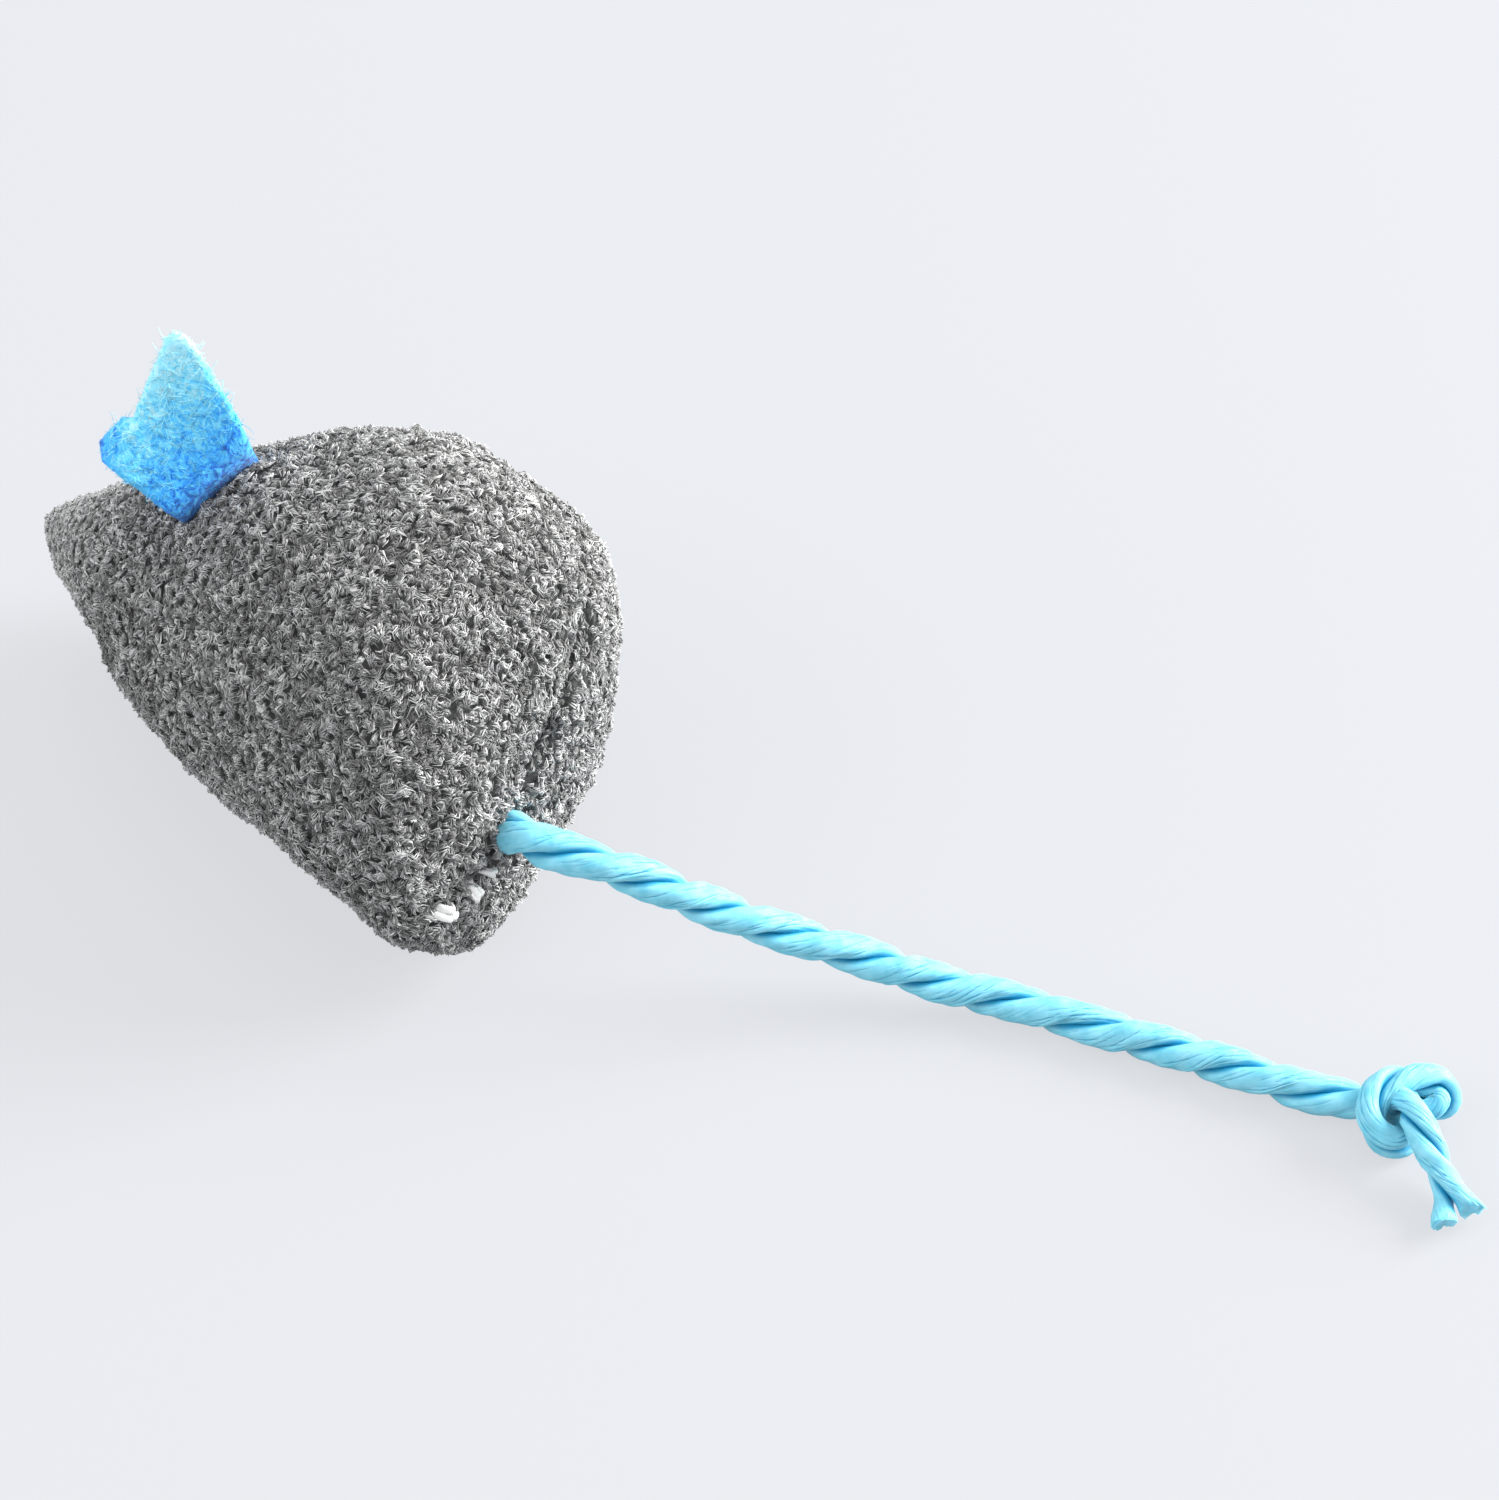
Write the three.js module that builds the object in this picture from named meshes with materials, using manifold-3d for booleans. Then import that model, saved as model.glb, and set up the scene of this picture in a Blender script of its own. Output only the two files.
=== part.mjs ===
// Catnip mouse: a stuffed terry toy with felt ears and a knotted paper-cord tail, in millimetres, +Z up.
// It lies on its right belly with the nose dipped, and the origin is the middle of the flat it rests on.
// Inside the mouse group, x runs from the nose tip to the rear seam, y up the back and z out of the left flank.
import * as THREE from "three";
import { mergeVertices } from "three/addons/utils/BufferGeometryUtils.js";
import Module from "manifold-3d";

// Body cover
const BODY_LENGTH = 65.4;
const BACK_HEIGHT = 22.4;
const BELLY_DEPTH = 21.2;
const HALF_WIDTH = 18;
const NOSE_RADIUS = 2;
const COVER_THICKNESS = 1.7;
const LIP_WIDTH = 4;
const LIP_THICKNESS = 1.5;
// How many times its inset an inner layer stops short of the nose tip and of the rear seam
const NOSE_SET_BACK = 1.9;
const REAR_SET_IN = 1.1;

// Stance on the floor, in degrees: how far the nose dips and how far the flank is rolled up
const NOSE_DIP = 10.3;
const FLANK_ROLL = 37.7;
const FLAT_DEPTH = 0.5;

// Felt ears, seated in slits that run from the flank up towards the back
const FELT_THICKNESS = 1.5;
const EAR_BASE = 8.5;
const EAR_FRONT_ALONG = 29.8;
const EAR_REAR_ALONG = 33.6;
const EAR_FRONT_ROUND = 78;
const EAR_REAR_ROUND = 55;
const EAR_LIFT = 1.8;
const EAR_ROOT_DEPTH = 5;

// Tail cord, its root caught in the rear seam
const CORD_DIAMETER = 3.5;
const TAIL_DROP = 8.5;
const ROOT_INSIDE = 8;
const ROOT_OUTSIDE = 0.8;
const CORD_CLEAR_OF_FLOOR = 0.1;
const KNOT_CORD_DIAMETER = 2;
const END_DIAMETER = 3.4;
const CORD_STEPS = 40;
const CORD_SIDES = 8;

// Thread, filling and catnip
const SEAM_THREAD_DIAMETER = 0.5;
const SEAM_INSET = 2.2;
const SEAM_STEPS = 48;
const SEAM_SHARE_STEP = 0.06;
const SEAM_RISE_STEP = 3;
const STITCH_DIAMETER = 0.9;
const WAD_RADIUS = 6.5;
const WAD_LENGTH = 14;
const WAD_FRONT = 27;

// Clear space between pieces that touch
const GAP = 0.3;
// Rings along and points around the outer skin, and the inner ones
const STATIONS = 18;
const AROUND = 24;
const INNER_STATIONS = 14;
const INNER_AROUND = 20;

// Slack fold of the left cover behind the snout: a ridge with a hollow in front of it, leaning with the height
const FOLD_ALONG = 20.5;
const FOLD_LEAN = 0.12;
const FOLD_WIDTH = 1.6;
const FOLD_HEIGHT = 0.45;
const HOLLOW_DEPTH = 0.3;
const FOLD_TO_HOLLOW = 2.6;
const FOLD_STEP = 1.3;
const FOLD_REACH = 5.2;
// Furrow that the seam pulls in, down to the hand stitches, and how far from it the left flank has its full relief
const FURROW_DEPTH = 1;
const FURROW_WIDTH = 1.6;
const FURROW_PAST_TAIL = 2;
const FLANK_FADE = 5;
// Relief grows from the nose, where the cover is drawn tight, over this length
const RELIEF_RISE = 22;

// How each side of the body swells: where it is fullest, how it rises from the nose,
// how it closes towards the rear seam and the share of its size left there
const BACK = { size: BACK_HEIGHT, fullest: 0.67, rise: 1.3, close: 0.58, left: 0.29 };
const BELLY = { size: BELLY_DEPTH, fullest: 0.96, rise: 1.93, close: 0.5, left: 0.5 };
const FLANK = { size: HALF_WIDTH, fullest: 0.78, rise: 2, close: 0.45, left: 0 };

// Lumps of the stuffing as long waves: radians per millimetre along, up and out, where they start, and height
const LUMPS = [
  [0.3, 0.12, 0.1, 0.4, 0.16],
  [-0.18, 0.28, 0.14, 2.1, 0.16],
  [0.22, -0.25, 0.2, 4.0, 0.14],
  [0.1, 0.33, -0.24, 5.2, 0.12],
  [0.41, 0.05, -0.12, 1.3, 0.1],
];

// Ear outline in its own plane: x along the slit, y standing off the cover. The front corner is dog-eared
const EAR_OUTLINE = [
  [0, 0],
  [EAR_BASE, 0],
  [10.9, 7],
  [11.4, 11],
  [11.2, 12.2],
  [10.2, 13.1],
  [9.5, 12.8],
  [2.6, 9.2],
  [1.9, 9.7],
  [-0.8, 9],
  [-1.7, 7.8],
  [-1.2, 6.6],
];
// Direction in which the left ear stands: forward, up and out
const EAR_STAND = new THREE.Vector3(-0.46, 0.41, 0.78);

// Tail route from where the tail swings: steps along X and Y, and the share of that place's height left
const TAIL_ROUTE = [
  [0, 0, 1],
  [2.6, 0.9, 0.985],
  [5.6, 2.4, 0.93],
  [9.2, 4.3, 0.83],
  [12.8, 6.4, 0.69],
  [16.7, 8.9, 0.53],
  [20.4, 11.5, 0.385],
  [24.1, 14.0, 0.26],
  [28.1, 16.2, 0.155],
  [32.3, 18.1, 0.08],
  [36.4, 20.2, 0.03],
  [40.8, 21.9, 0.006],
  [45.3, 23.3, 0],
  [52.3, 25.5, 0],
  [57.9, 27.1, 0],
  [61.7, 28.1, 0.006],
  [64.8, 28.9, 0.012],
];
// Overhand knot, lying flat: the cord comes in low, weaves over and under through two loops and leaves on top
const KNOT_REACH = 1.6;
const KNOT_RISE = 1.7;
const KNOT_HALF_TURN = 2.6;
const KNOT_FLATTENING = 0.25;
const KNOT_LEAD_IN = [
  [-4.4, -5.8, -1.1],
  [-3.1, -5.2, -1.2],
  [-2.1, -4.1, -1.4],
];
const KNOT_LEAD_OUT = [
  [2.2, -4.0, 1.3],
  [3.2, -4.9, 0.9],
  [4.6, -5.3, 0.5],
];
const KNOT_TURN = -15;
// Loose end past the knot, as steps from the knot's own end
const END_ROUTE = [
  [GAP, 0, 0],
  [2.6, -0.35, -0.25],
  [4.9, -0.75, -0.5],
  [7.6, -1.2, -0.7],
];
// Hand stitches over the closed gap: height on the seam, reach to the left and right flank, and slant
const STITCHES = [
  { height: -17.2, left: 4.8, right: -1.4, slant: -0.8 },
  { height: -14.2, left: 1.8, right: 1.2, slant: 1.2 },
  { height: -12.4, left: 0.9, right: 1.1, slant: -0.5 },
];

const TERRY = new THREE.MeshStandardMaterial({ color: 0x7a7a78, roughness: 0.95, metalness: 0 });
const FELT = new THREE.MeshStandardMaterial({ color: 0x3298ea, roughness: 0.95, metalness: 0 });
const PAPER = new THREE.MeshStandardMaterial({ color: 0x74d0ec, roughness: 0.7, metalness: 0 });
const THREAD = new THREE.MeshStandardMaterial({ color: 0xf2f2ee, roughness: 0.8, metalness: 0 });
const FIBRE = new THREE.MeshStandardMaterial({ color: 0xe9e9e4, roughness: 1, metalness: 0 });
const LEAF = new THREE.MeshStandardMaterial({ color: 0x7d8350, roughness: 1, metalness: 0 });

const wasm = await Module();
wasm.setup();
const radians = THREE.MathUtils.degToRad;

// Turns a closed geometry into a solid that can be cut and joined
function solid(geometry) {
  const bare = geometry.clone();
  bare.deleteAttribute("normal");
  bare.deleteAttribute("uv");
  const merged = mergeVertices(bare, 1e-4);
  const vertProperties = merged.attributes.position.array;
  const triVerts = new Uint32Array(merged.index.array);
  return new wasm.Manifold(new wasm.Mesh({ numProp: 3, vertProperties, triVerts }));
}

function geometryOf(body) {
  const mesh = body.getMesh();
  const geometry = new THREE.BufferGeometry();
  geometry.setAttribute("position", new THREE.BufferAttribute(mesh.vertProperties, 3));
  geometry.setIndex(new THREE.BufferAttribute(mesh.triVerts, 1));
  geometry.computeVertexNormals();
  return geometry;
}

// Half-size of one side of the body at a place along it
function swell(along, side) {
  const top = side.fullest * BODY_LENGTH;
  if (along < top) {
    const reach = Math.sqrt(along * along + 2 * NOSE_RADIUS * along);
    const whole = Math.sqrt(top * top + 2 * NOSE_RADIUS * top);
    return side.size * (1 - (1 - reach / whole) ** side.rise);
  }
  const past = Math.min(1, (along - top) / (BODY_LENGTH - top));
  return side.size * (side.left + (1 - side.left) * (1 - past ** 3) ** side.close);
}

// Point on the cover, drawn in by an inset: a share of the length and an angle from the back
function skinPoint(share, angle, inset = 0) {
  const front = inset * NOSE_SET_BACK;
  const along = share * BODY_LENGTH;
  const back = (swell(along, BACK) * (BACK.size - inset)) / BACK.size;
  const belly = (swell(along, BELLY) * (BELLY.size - inset)) / BELLY.size;
  const flank = (swell(along, FLANK) * (FLANK.size - inset)) / FLANK.size;
  const middle = (back - belly) / 2;
  const half = (back + belly) / 2;
  return new THREE.Vector3(
    front + share * (BODY_LENGTH - front - inset * REAR_SET_IN),
    middle + half * Math.cos(angle),
    flank * Math.sin(angle),
  );
}

const clamp = THREE.MathUtils.clamp;
const bell = (value) => Math.exp(-(value ** 2));

// How far the cover is drawn in by its seam, less how far lumps and fold stand out of the left flank
function reliefInset(point) {
  const atRear = clamp((point.x / BODY_LENGTH - 0.8) / 0.1, 0, 1);
  const aboveStitches = clamp((point.y + TAIL_DROP + FURROW_PAST_TAIL) / 3, 0, 1);
  const furrow = FURROW_DEPTH * bell(point.z / FURROW_WIDTH) * (1 - atRear * (1 - aboveStitches));
  const behindRidge = point.x - FOLD_ALONG - FOLD_LEAN * point.y;
  let height = FOLD_HEIGHT * bell(behindRidge / FOLD_WIDTH);
  height -= HOLLOW_DEPTH * bell((behindRidge + FOLD_TO_HOLLOW) / FOLD_WIDTH);
  for (const [along, up, out, start, size] of LUMPS) {
    height += size * Math.sin(along * point.x + up * point.y + out * point.z + start);
  }
  const onFlank = clamp(point.z / FLANK_FADE, 0, 1);
  return (furrow - height * onFlank) * clamp(point.x / RELIEF_RISE, 0.1, 1);
}

// Shares of the length at which rings stand, closer towards both ends, and angles round the body
const evenShares = (count) => Array.from({ length: count + 1 }, (_, i) => (1 - Math.cos((Math.PI * i) / count)) / 2);
const evenAngles = (count) => Array.from({ length: count }, (_, i) => (2 * Math.PI * i) / count);
const innerShares = evenShares(INNER_STATIONS);
const innerAngles = evenAngles(INNER_AROUND);

// The outer skin has more rings at the fold, and more points beside the seam
const outerShares = evenShares(STATIONS).filter((share) => Math.abs(share * BODY_LENGTH - FOLD_ALONG) > FOLD_REACH);
for (let off = -FOLD_REACH; off <= FOLD_REACH; off += FOLD_STEP) outerShares.push((FOLD_ALONG + off) / BODY_LENGTH);
outerShares.sort((a, b) => a - b);
const outerAngles = evenAngles(AROUND);
for (const seamAngle of [0, Math.PI]) {
  for (const off of [-7, -3, 3, 7]) outerAngles.push((seamAngle + radians(off) + 2 * Math.PI) % (2 * Math.PI));
}
outerAngles.sort((a, b) => a - b);

// The stuffed body as rings from the nose to the rear seam, where the last ring closes to a line
function bodyLoft(inset, shares = innerShares, angles = innerAngles, shaped = false) {
  const positions = [];
  const faces = [];
  const seen = new Map();
  const vertex = (i, j) => {
    const angle = angles[j % angles.length];
    const drawn = shaped ? reliefInset(skinPoint(shares[i], angle)) : 0;
    const point = skinPoint(shares[i], angle, inset + drawn);
    const key = point.toArray().map((value) => Math.round(value * 1e4)).join();
    if (!seen.has(key)) {
      seen.set(key, positions.length / 3);
      positions.push(...point.toArray());
    }
    return seen.get(key);
  };
  const face = (a, b, c) => {
    if (a !== b && b !== c && c !== a) faces.push(a, b, c);
  };
  for (let i = 0; i + 1 < shares.length; i++) {
    for (let j = 0; j < angles.length; j++) {
      const corners = [vertex(i, j), vertex(i, j + 1), vertex(i + 1, j + 1), vertex(i + 1, j)];
      face(corners[0], corners[1], corners[2]);
      face(corners[0], corners[2], corners[3]);
    }
  }
  const geometry = new THREE.BufferGeometry();
  geometry.setAttribute("position", new THREE.Float32BufferAttribute(positions, 3));
  geometry.setIndex(faces);
  return geometry;
}

// Layer across the whole body between two distances from the seam plane
function layer(low, high) {
  const geometry = new THREE.BoxGeometry(3 * BODY_LENGTH, 6 * BACK_HEIGHT, high - low);
  geometry.translate(0, 0, (low + high) / 2);
  return solid(geometry);
}

// Round tube along a curve, with flat ends
function tube(curve, diameter, steps, sides) {
  const section = new THREE.Shape();
  for (let i = 0; i <= sides; i++) {
    const angle = (2 * Math.PI * i) / sides;
    const place = [(Math.cos(angle) * diameter) / 2, (Math.sin(angle) * diameter) / 2];
    if (i === 0) section.moveTo(...place);
    else section.lineTo(...place);
  }
  return new THREE.ExtrudeGeometry(section, { steps, extrudePath: curve, curveSegments: 1 });
}

const vectors = (points) => points.map((point) => new THREE.Vector3(...point));
const smooth = (points) => new THREE.CatmullRomCurve3(points, false, "centripetal");

// The mouse group carries the stance: the lowest point of the cover comes to rest over the origin
const mouse = new THREE.Group();
mouse.rotation.set(radians(FLANK_ROLL), radians(-NOSE_DIP), 0, "YXZ");
const lowest = new THREE.Vector3(0, 0, Infinity);
for (let share = 0; share <= 1; share += 0.004) {
  for (let angle = 180; angle <= 360; angle += 1) {
    const point = skinPoint(share, radians(angle)).applyEuler(mouse.rotation);
    if (point.z < lowest.z) lowest.copy(point);
  }
}
mouse.position.set(-lowest.x, -lowest.y, -lowest.z - FLAT_DEPTH);
mouse.updateMatrixWorld(true);
const floor = new THREE.BoxGeometry(3 * BODY_LENGTH, 3 * BODY_LENGTH, BODY_LENGTH);
floor.translate(0, 0, -BODY_LENGTH / 2);
floor.applyMatrix4(mouse.matrixWorld.clone().invert());

// Left ear frame: the origin is on the bend line, x runs along the slit and y stands off the cover
const earFront = skinPoint(EAR_FRONT_ALONG / BODY_LENGTH, radians(EAR_FRONT_ROUND));
const earRear = skinPoint(EAR_REAR_ALONG / BODY_LENGTH, radians(EAR_REAR_ROUND));
const earX = earRear.clone().sub(earFront).normalize();
const earY = EAR_STAND.clone().addScaledVector(earX, -EAR_STAND.dot(earX)).normalize();
const earZ = earX.clone().cross(earY);
const earFrame = new THREE.Matrix4().makeBasis(earX, earY, earZ);
earFrame.setPosition(earFront.clone().addScaledVector(earY, EAR_LIFT));

// Felt flap with a round lower edge about the bend line
function earFlap() {
  const outline = new THREE.Shape(EAR_OUTLINE.map((point) => new THREE.Vector2(...point)));
  const flap = new THREE.ExtrudeGeometry(outline, { depth: FELT_THICKNESS, bevelEnabled: false });
  flap.translate(0, 0, -FELT_THICKNESS / 2);
  const edge = new THREE.CylinderGeometry(FELT_THICKNESS / 2, FELT_THICKNESS / 2, EAR_BASE, 12);
  edge.rotateZ(Math.PI / 2);
  edge.translate(EAR_BASE / 2, 0, 0);
  return geometryOf(solid(flap).add(solid(edge)));
}

// Part of the felt that sits in the slit, or with clearance the slit that takes it
function earTab(clearance, reach) {
  const low = -EAR_LIFT - EAR_ROOT_DEPTH - clearance;
  const height = reach - low;
  const size = [EAR_BASE - 2 * GAP + 2 * clearance, height, FELT_THICKNESS + 2 * clearance];
  const geometry = new THREE.BoxGeometry(...size);
  geometry.translate(EAR_BASE / 2, low + height / 2, 0);
  return geometry;
}
const earSlit = earTab(GAP, EAR_LIFT).applyMatrix4(earFrame);
const mirrored = new THREE.Matrix4().makeScale(1, 1, -1);

// The same geometry on the other side of the seam plane, faces still pointing out
function mirror(geometry) {
  const other = geometry.clone().applyMatrix4(mirrored);
  const index = other.index.array;
  for (let i = 0; i < index.length; i += 3) [index[i], index[i + 1]] = [index[i + 1], index[i]];
  return other;
}

// Cord root caught between the lips, or with clearance the channel that takes it
function tailRoot(clearance) {
  const radius = CORD_DIAMETER / 2 + clearance;
  const length = ROOT_INSIDE + ROOT_OUTSIDE + 2 * clearance;
  const geometry = new THREE.CylinderGeometry(radius, radius, length, 16);
  geometry.rotateZ(Math.PI / 2);
  geometry.translate(BODY_LENGTH + (ROOT_OUTSIDE - ROOT_INSIDE) / 2, -TAIL_DROP, 0);
  return geometry;
}

// Machine seam, from above the tail over the back, round the nose and along the belly to its corner
function seamPath() {
  const points = [];
  const rear = skinPoint(1, 0, SEAM_INSET);
  for (let rise = GAP + CORD_DIAMETER - TAIL_DROP; rise < rear.y - 1; rise += SEAM_RISE_STEP) {
    points.push(new THREE.Vector3(rear.x, rise, 0));
  }
  for (let share = 0.97; share > 0.03; share -= SEAM_SHARE_STEP) {
    points.push(skinPoint(share, 0, SEAM_INSET).setZ(0));
  }
  for (let share = 0.04; share < 0.96; share += SEAM_SHARE_STEP) {
    points.push(skinPoint(share, Math.PI, SEAM_INSET).setZ(0));
  }
  return smooth(points);
}
const seam = seamPath();
const seamChannel = solid(tube(seam, SEAM_THREAD_DIAMETER + 2 * GAP, SEAM_STEPS, 4));

const outside = solid(bodyLoft(0, outerShares, outerAngles, true));
const underside = solid(bodyLoft(COVER_THICKNESS));
const mouth = solid(bodyLoft(COVER_THICKNESS + LIP_WIDTH));
const FAR = 2 * HALF_WIDTH;

// Terry shell of one flank, its edge turned in along the seam as a lip
function panel(half, hollow, slit) {
  return outside
    .intersect(half)
    .subtract(underside.intersect(hollow))
    .subtract(mouth)
    .subtract(solid(tailRoot(GAP)))
    .subtract(seamChannel)
    .subtract(solid(slit));
}
const lipTop = GAP / 2 + LIP_THICKNESS;
const leftPanel = panel(layer(GAP / 2, FAR), layer(lipTop, FAR), earSlit);
const rightWhole = panel(layer(-FAR, -GAP / 2), layer(-FAR, -lipTop), mirror(earSlit));
const rightPanel = rightWhole.subtract(solid(floor));

// Catnip in a pocket that opens towards the hand-closed gap
function wad(radius, length) {
  const geometry = new THREE.CapsuleGeometry(radius, length, 4, 14);
  geometry.rotateZ(Math.PI / 2);
  geometry.translate(WAD_FRONT + length / 2, 0, 0);
  return geometry;
}
const lipSpace = layer(-lipTop - GAP, lipTop + GAP);
const lips = lipSpace.subtract(solid(bodyLoft(COVER_THICKNESS + LIP_WIDTH + GAP)));
const filling = solid(bodyLoft(COVER_THICKNESS + GAP))
  .subtract(lips)
  .subtract(solid(wad(WAD_RADIUS + GAP, BODY_LENGTH)))
  .subtract(solid(earSlit))
  .subtract(solid(mirror(earSlit)))
  .subtract(solid(tailRoot(GAP)));

// How far along the body the rear cover stands at a place on its end
function rearSkin(height, out) {
  let near = 0.9;
  let far = 1;
  while (far - near > 1e-6) {
    const share = (near + far) / 2;
    const back = skinPoint(share, 0).y;
    const belly = skinPoint(share, Math.PI).y;
    const flank = skinPoint(share, Math.PI / 2).z;
    const offset = (height - (back + belly) / 2) / ((back - belly) / 2);
    if (offset ** 2 + (out / flank) ** 2 < 1) near = share;
    else far = share;
  }
  return near * BODY_LENGTH;
}

// White thread lying over the seam from one flank to the other
function stitch({ height, left, right, slant }) {
  const points = [-right, (left - right) / 2, left].map((out) => {
    const rise = height + slant * ((out + right) / (left + right) - 0.5);
    return new THREE.Vector3(rearSkin(rise, out) + GAP + STITCH_DIAMETER / 2, rise, out);
  });
  return tube(smooth(points), STITCH_DIAMETER, 4, 6);
}

function add(group, name, geometry, material) {
  const mesh = new THREE.Mesh(geometry, material);
  mesh.name = name;
  group.add(mesh);
  return mesh;
}

const toy = new THREE.Group();
toy.add(mouse);
add(mouse, "left_panel", geometryOf(leftPanel), TERRY);
add(mouse, "right_panel", geometryOf(rightPanel), TERRY);
add(mouse, "seam_thread", tube(seam, SEAM_THREAD_DIAMETER, SEAM_STEPS, 6), THREAD);
add(mouse, "fibre_filling", geometryOf(filling), FIBRE);
add(mouse, "catnip_wad", wad(WAD_RADIUS, WAD_LENGTH), LEAF);
add(mouse, "tail_root", tailRoot(0), PAPER);
STITCHES.forEach((each, i) => add(mouse, `closing_stitch_${i + 1}`, stitch(each), THREAD));

// Ears: the left one in its frame, the right one its mirror image
for (const side of ["left", "right"]) {
  const ear = new THREE.Group();
  ear.applyMatrix4(earFrame);
  const flank = new THREE.Group();
  flank.scale.z = side === "left" ? 1 : -1;
  flank.add(ear);
  mouse.add(flank);
  add(ear, `${side}_ear`, earFlap(), FELT);
  add(ear, `${side}_ear_root`, earTab(0, -FELT_THICKNESS / 2 - GAP), FELT);
}

// Tail: it swings about a vertical line just behind its root, sinks to the floor and lies along it
const tail = new THREE.Group();
const swingAlong = BODY_LENGTH + ROOT_OUTSIDE + GAP + CORD_DIAMETER / 2;
const swing = new THREE.Vector3(swingAlong, -TAIL_DROP, 0).applyMatrix4(mouse.matrixWorld);
tail.position.set(swing.x, swing.y, 0);
toy.add(tail);
const resting = CORD_DIAMETER / 2 + CORD_CLEAR_OF_FLOOR;
const drop = swing.z - resting;
const route = TAIL_ROUTE.map(([x, y, share]) => new THREE.Vector3(x, y, resting + share * drop));
const joint = new THREE.SphereGeometry(CORD_DIAMETER / 2, 8, 6);
joint.translate(0, 0, swing.z);
const cord = tube(smooth(route), CORD_DIAMETER, CORD_STEPS, CORD_SIDES);
add(tail, "tail_cord", geometryOf(solid(cord).add(solid(joint))), PAPER);

// Middle of the knotted cord: a trefoil opened at one lobe, its passes flattened where they cross
function knotCurve() {
  const points = vectors(KNOT_LEAD_IN);
  for (let i = 0; i <= CORD_STEPS; i++) {
    const turn = KNOT_HALF_TURN * ((2 * i) / CORD_STEPS - 1);
    const x = -KNOT_REACH * (Math.sin(turn) + 2 * Math.sin(2 * turn));
    const y = KNOT_REACH * (Math.cos(turn) - 2 * Math.cos(2 * turn));
    const z = KNOT_RISE * (Math.sin(3 * turn) + KNOT_FLATTENING * Math.sin(9 * turn));
    points.push(new THREE.Vector3(x, y, z));
  }
  return smooth(points.concat(vectors(KNOT_LEAD_OUT)));
}

// Knot, set so that its first end meets the cord, and the loose end past it
const knot = new THREE.Group();
knot.rotation.z = radians(KNOT_TURN);
const knotted = knotCurve();
const samples = knotted.getSpacedPoints(5 * CORD_STEPS);
const knotLow = Math.min(...samples.map((point) => point.z));
const entry = new THREE.Vector3(...KNOT_LEAD_IN[0]).applyEuler(knot.rotation);
const cordEnd = route.at(-1).clone();
const heading = cordEnd.clone().sub(route.at(-2)).normalize();
knot.position.copy(cordEnd).addScaledVector(heading, GAP).sub(entry);
knot.position.z = KNOT_CORD_DIAMETER / 2 - knotLow;
tail.add(knot);
add(knot, "tail_knot", tube(knotted, KNOT_CORD_DIAMETER, 2 * CORD_STEPS, CORD_SIDES), PAPER);
const knotEnd = new THREE.Vector3(...KNOT_LEAD_OUT.at(-1));
const endCurve = smooth(vectors(END_ROUTE).map((step) => step.add(knotEnd)));
add(knot, "tail_end", tube(endCurve, END_DIAMETER, 5, CORD_SIDES), PAPER);

// Least gap of the knot to itself, between places over three diameters apart along the cord
const apart = Math.ceil((3 * KNOT_CORD_DIAMETER * samples.length) / knotted.getLength());
let least = Infinity;
for (let i = 0; i < samples.length; i++) {
  for (let j = i + apart; j < samples.length; j++) {
    least = Math.min(least, samples[i].distanceTo(samples[j]) - KNOT_CORD_DIAMETER);
  }
}
console.log(`least gap of the knot to itself: ${least.toFixed(2)} mm`);

export default toy;
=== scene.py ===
from math import pi, radians

import bpy
import numpy as np
from mathutils import Matrix, Vector
from mathutils.geometry import delaunay_2d_cdt


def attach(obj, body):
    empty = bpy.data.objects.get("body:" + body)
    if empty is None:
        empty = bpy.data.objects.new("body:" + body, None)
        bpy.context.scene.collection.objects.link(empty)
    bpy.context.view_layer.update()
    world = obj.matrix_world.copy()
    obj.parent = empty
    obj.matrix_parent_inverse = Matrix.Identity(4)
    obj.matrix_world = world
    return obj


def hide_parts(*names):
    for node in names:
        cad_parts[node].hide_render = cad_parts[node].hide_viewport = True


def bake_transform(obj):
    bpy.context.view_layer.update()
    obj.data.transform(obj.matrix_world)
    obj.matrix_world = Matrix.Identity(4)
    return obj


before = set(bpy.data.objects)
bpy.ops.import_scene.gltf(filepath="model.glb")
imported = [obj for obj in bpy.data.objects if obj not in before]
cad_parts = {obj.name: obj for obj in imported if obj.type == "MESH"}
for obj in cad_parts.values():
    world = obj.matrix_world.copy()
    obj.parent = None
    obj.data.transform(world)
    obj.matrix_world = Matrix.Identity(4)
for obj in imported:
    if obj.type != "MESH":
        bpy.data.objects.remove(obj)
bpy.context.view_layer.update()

# Catnip wad
# A pinch of dried leaf and stem, rubbed to crumbs and pressed into the middle of the filling by hand.
# Nothing holds it but the fibre round it, so it keeps the lumpy shape of the fingers that placed it.
WAD_RADIUS = 6.5
WAD_FRONT = 27.0
WAD_LENGTH = 14.0
WAD_IN_POCKET = 0.93
WAD_LUMP = 0.025
WAD_LUMP_LENGTH = 4
WAD_RINGS = 26
WAD_SIDES = 36
WAD_TIP = 0.04
CRUMB = 1.2

# The mouse lies on its right belly with the nose dipped: x runs from the nose to the rear seam,
# y up the back and z out of the left flank, in millimetres until a piece is placed
MILLIMETRE = 0.001
NOSE_DIP = -10.3
BELLY_ROLL = 37.7
STANCE = Matrix.Rotation(radians(NOSE_DIP), 4, "Y") @ Matrix.Rotation(radians(BELLY_ROLL), 4, "X")
STANCE.translation = (-41.681, 1.449, 9.397)


def placed(points, where=STANCE):
    turn = np.array(where)
    return (np.asarray(points) @ turn[:3, :3].T + turn[:3, 3]) * MILLIMETRE


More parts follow.
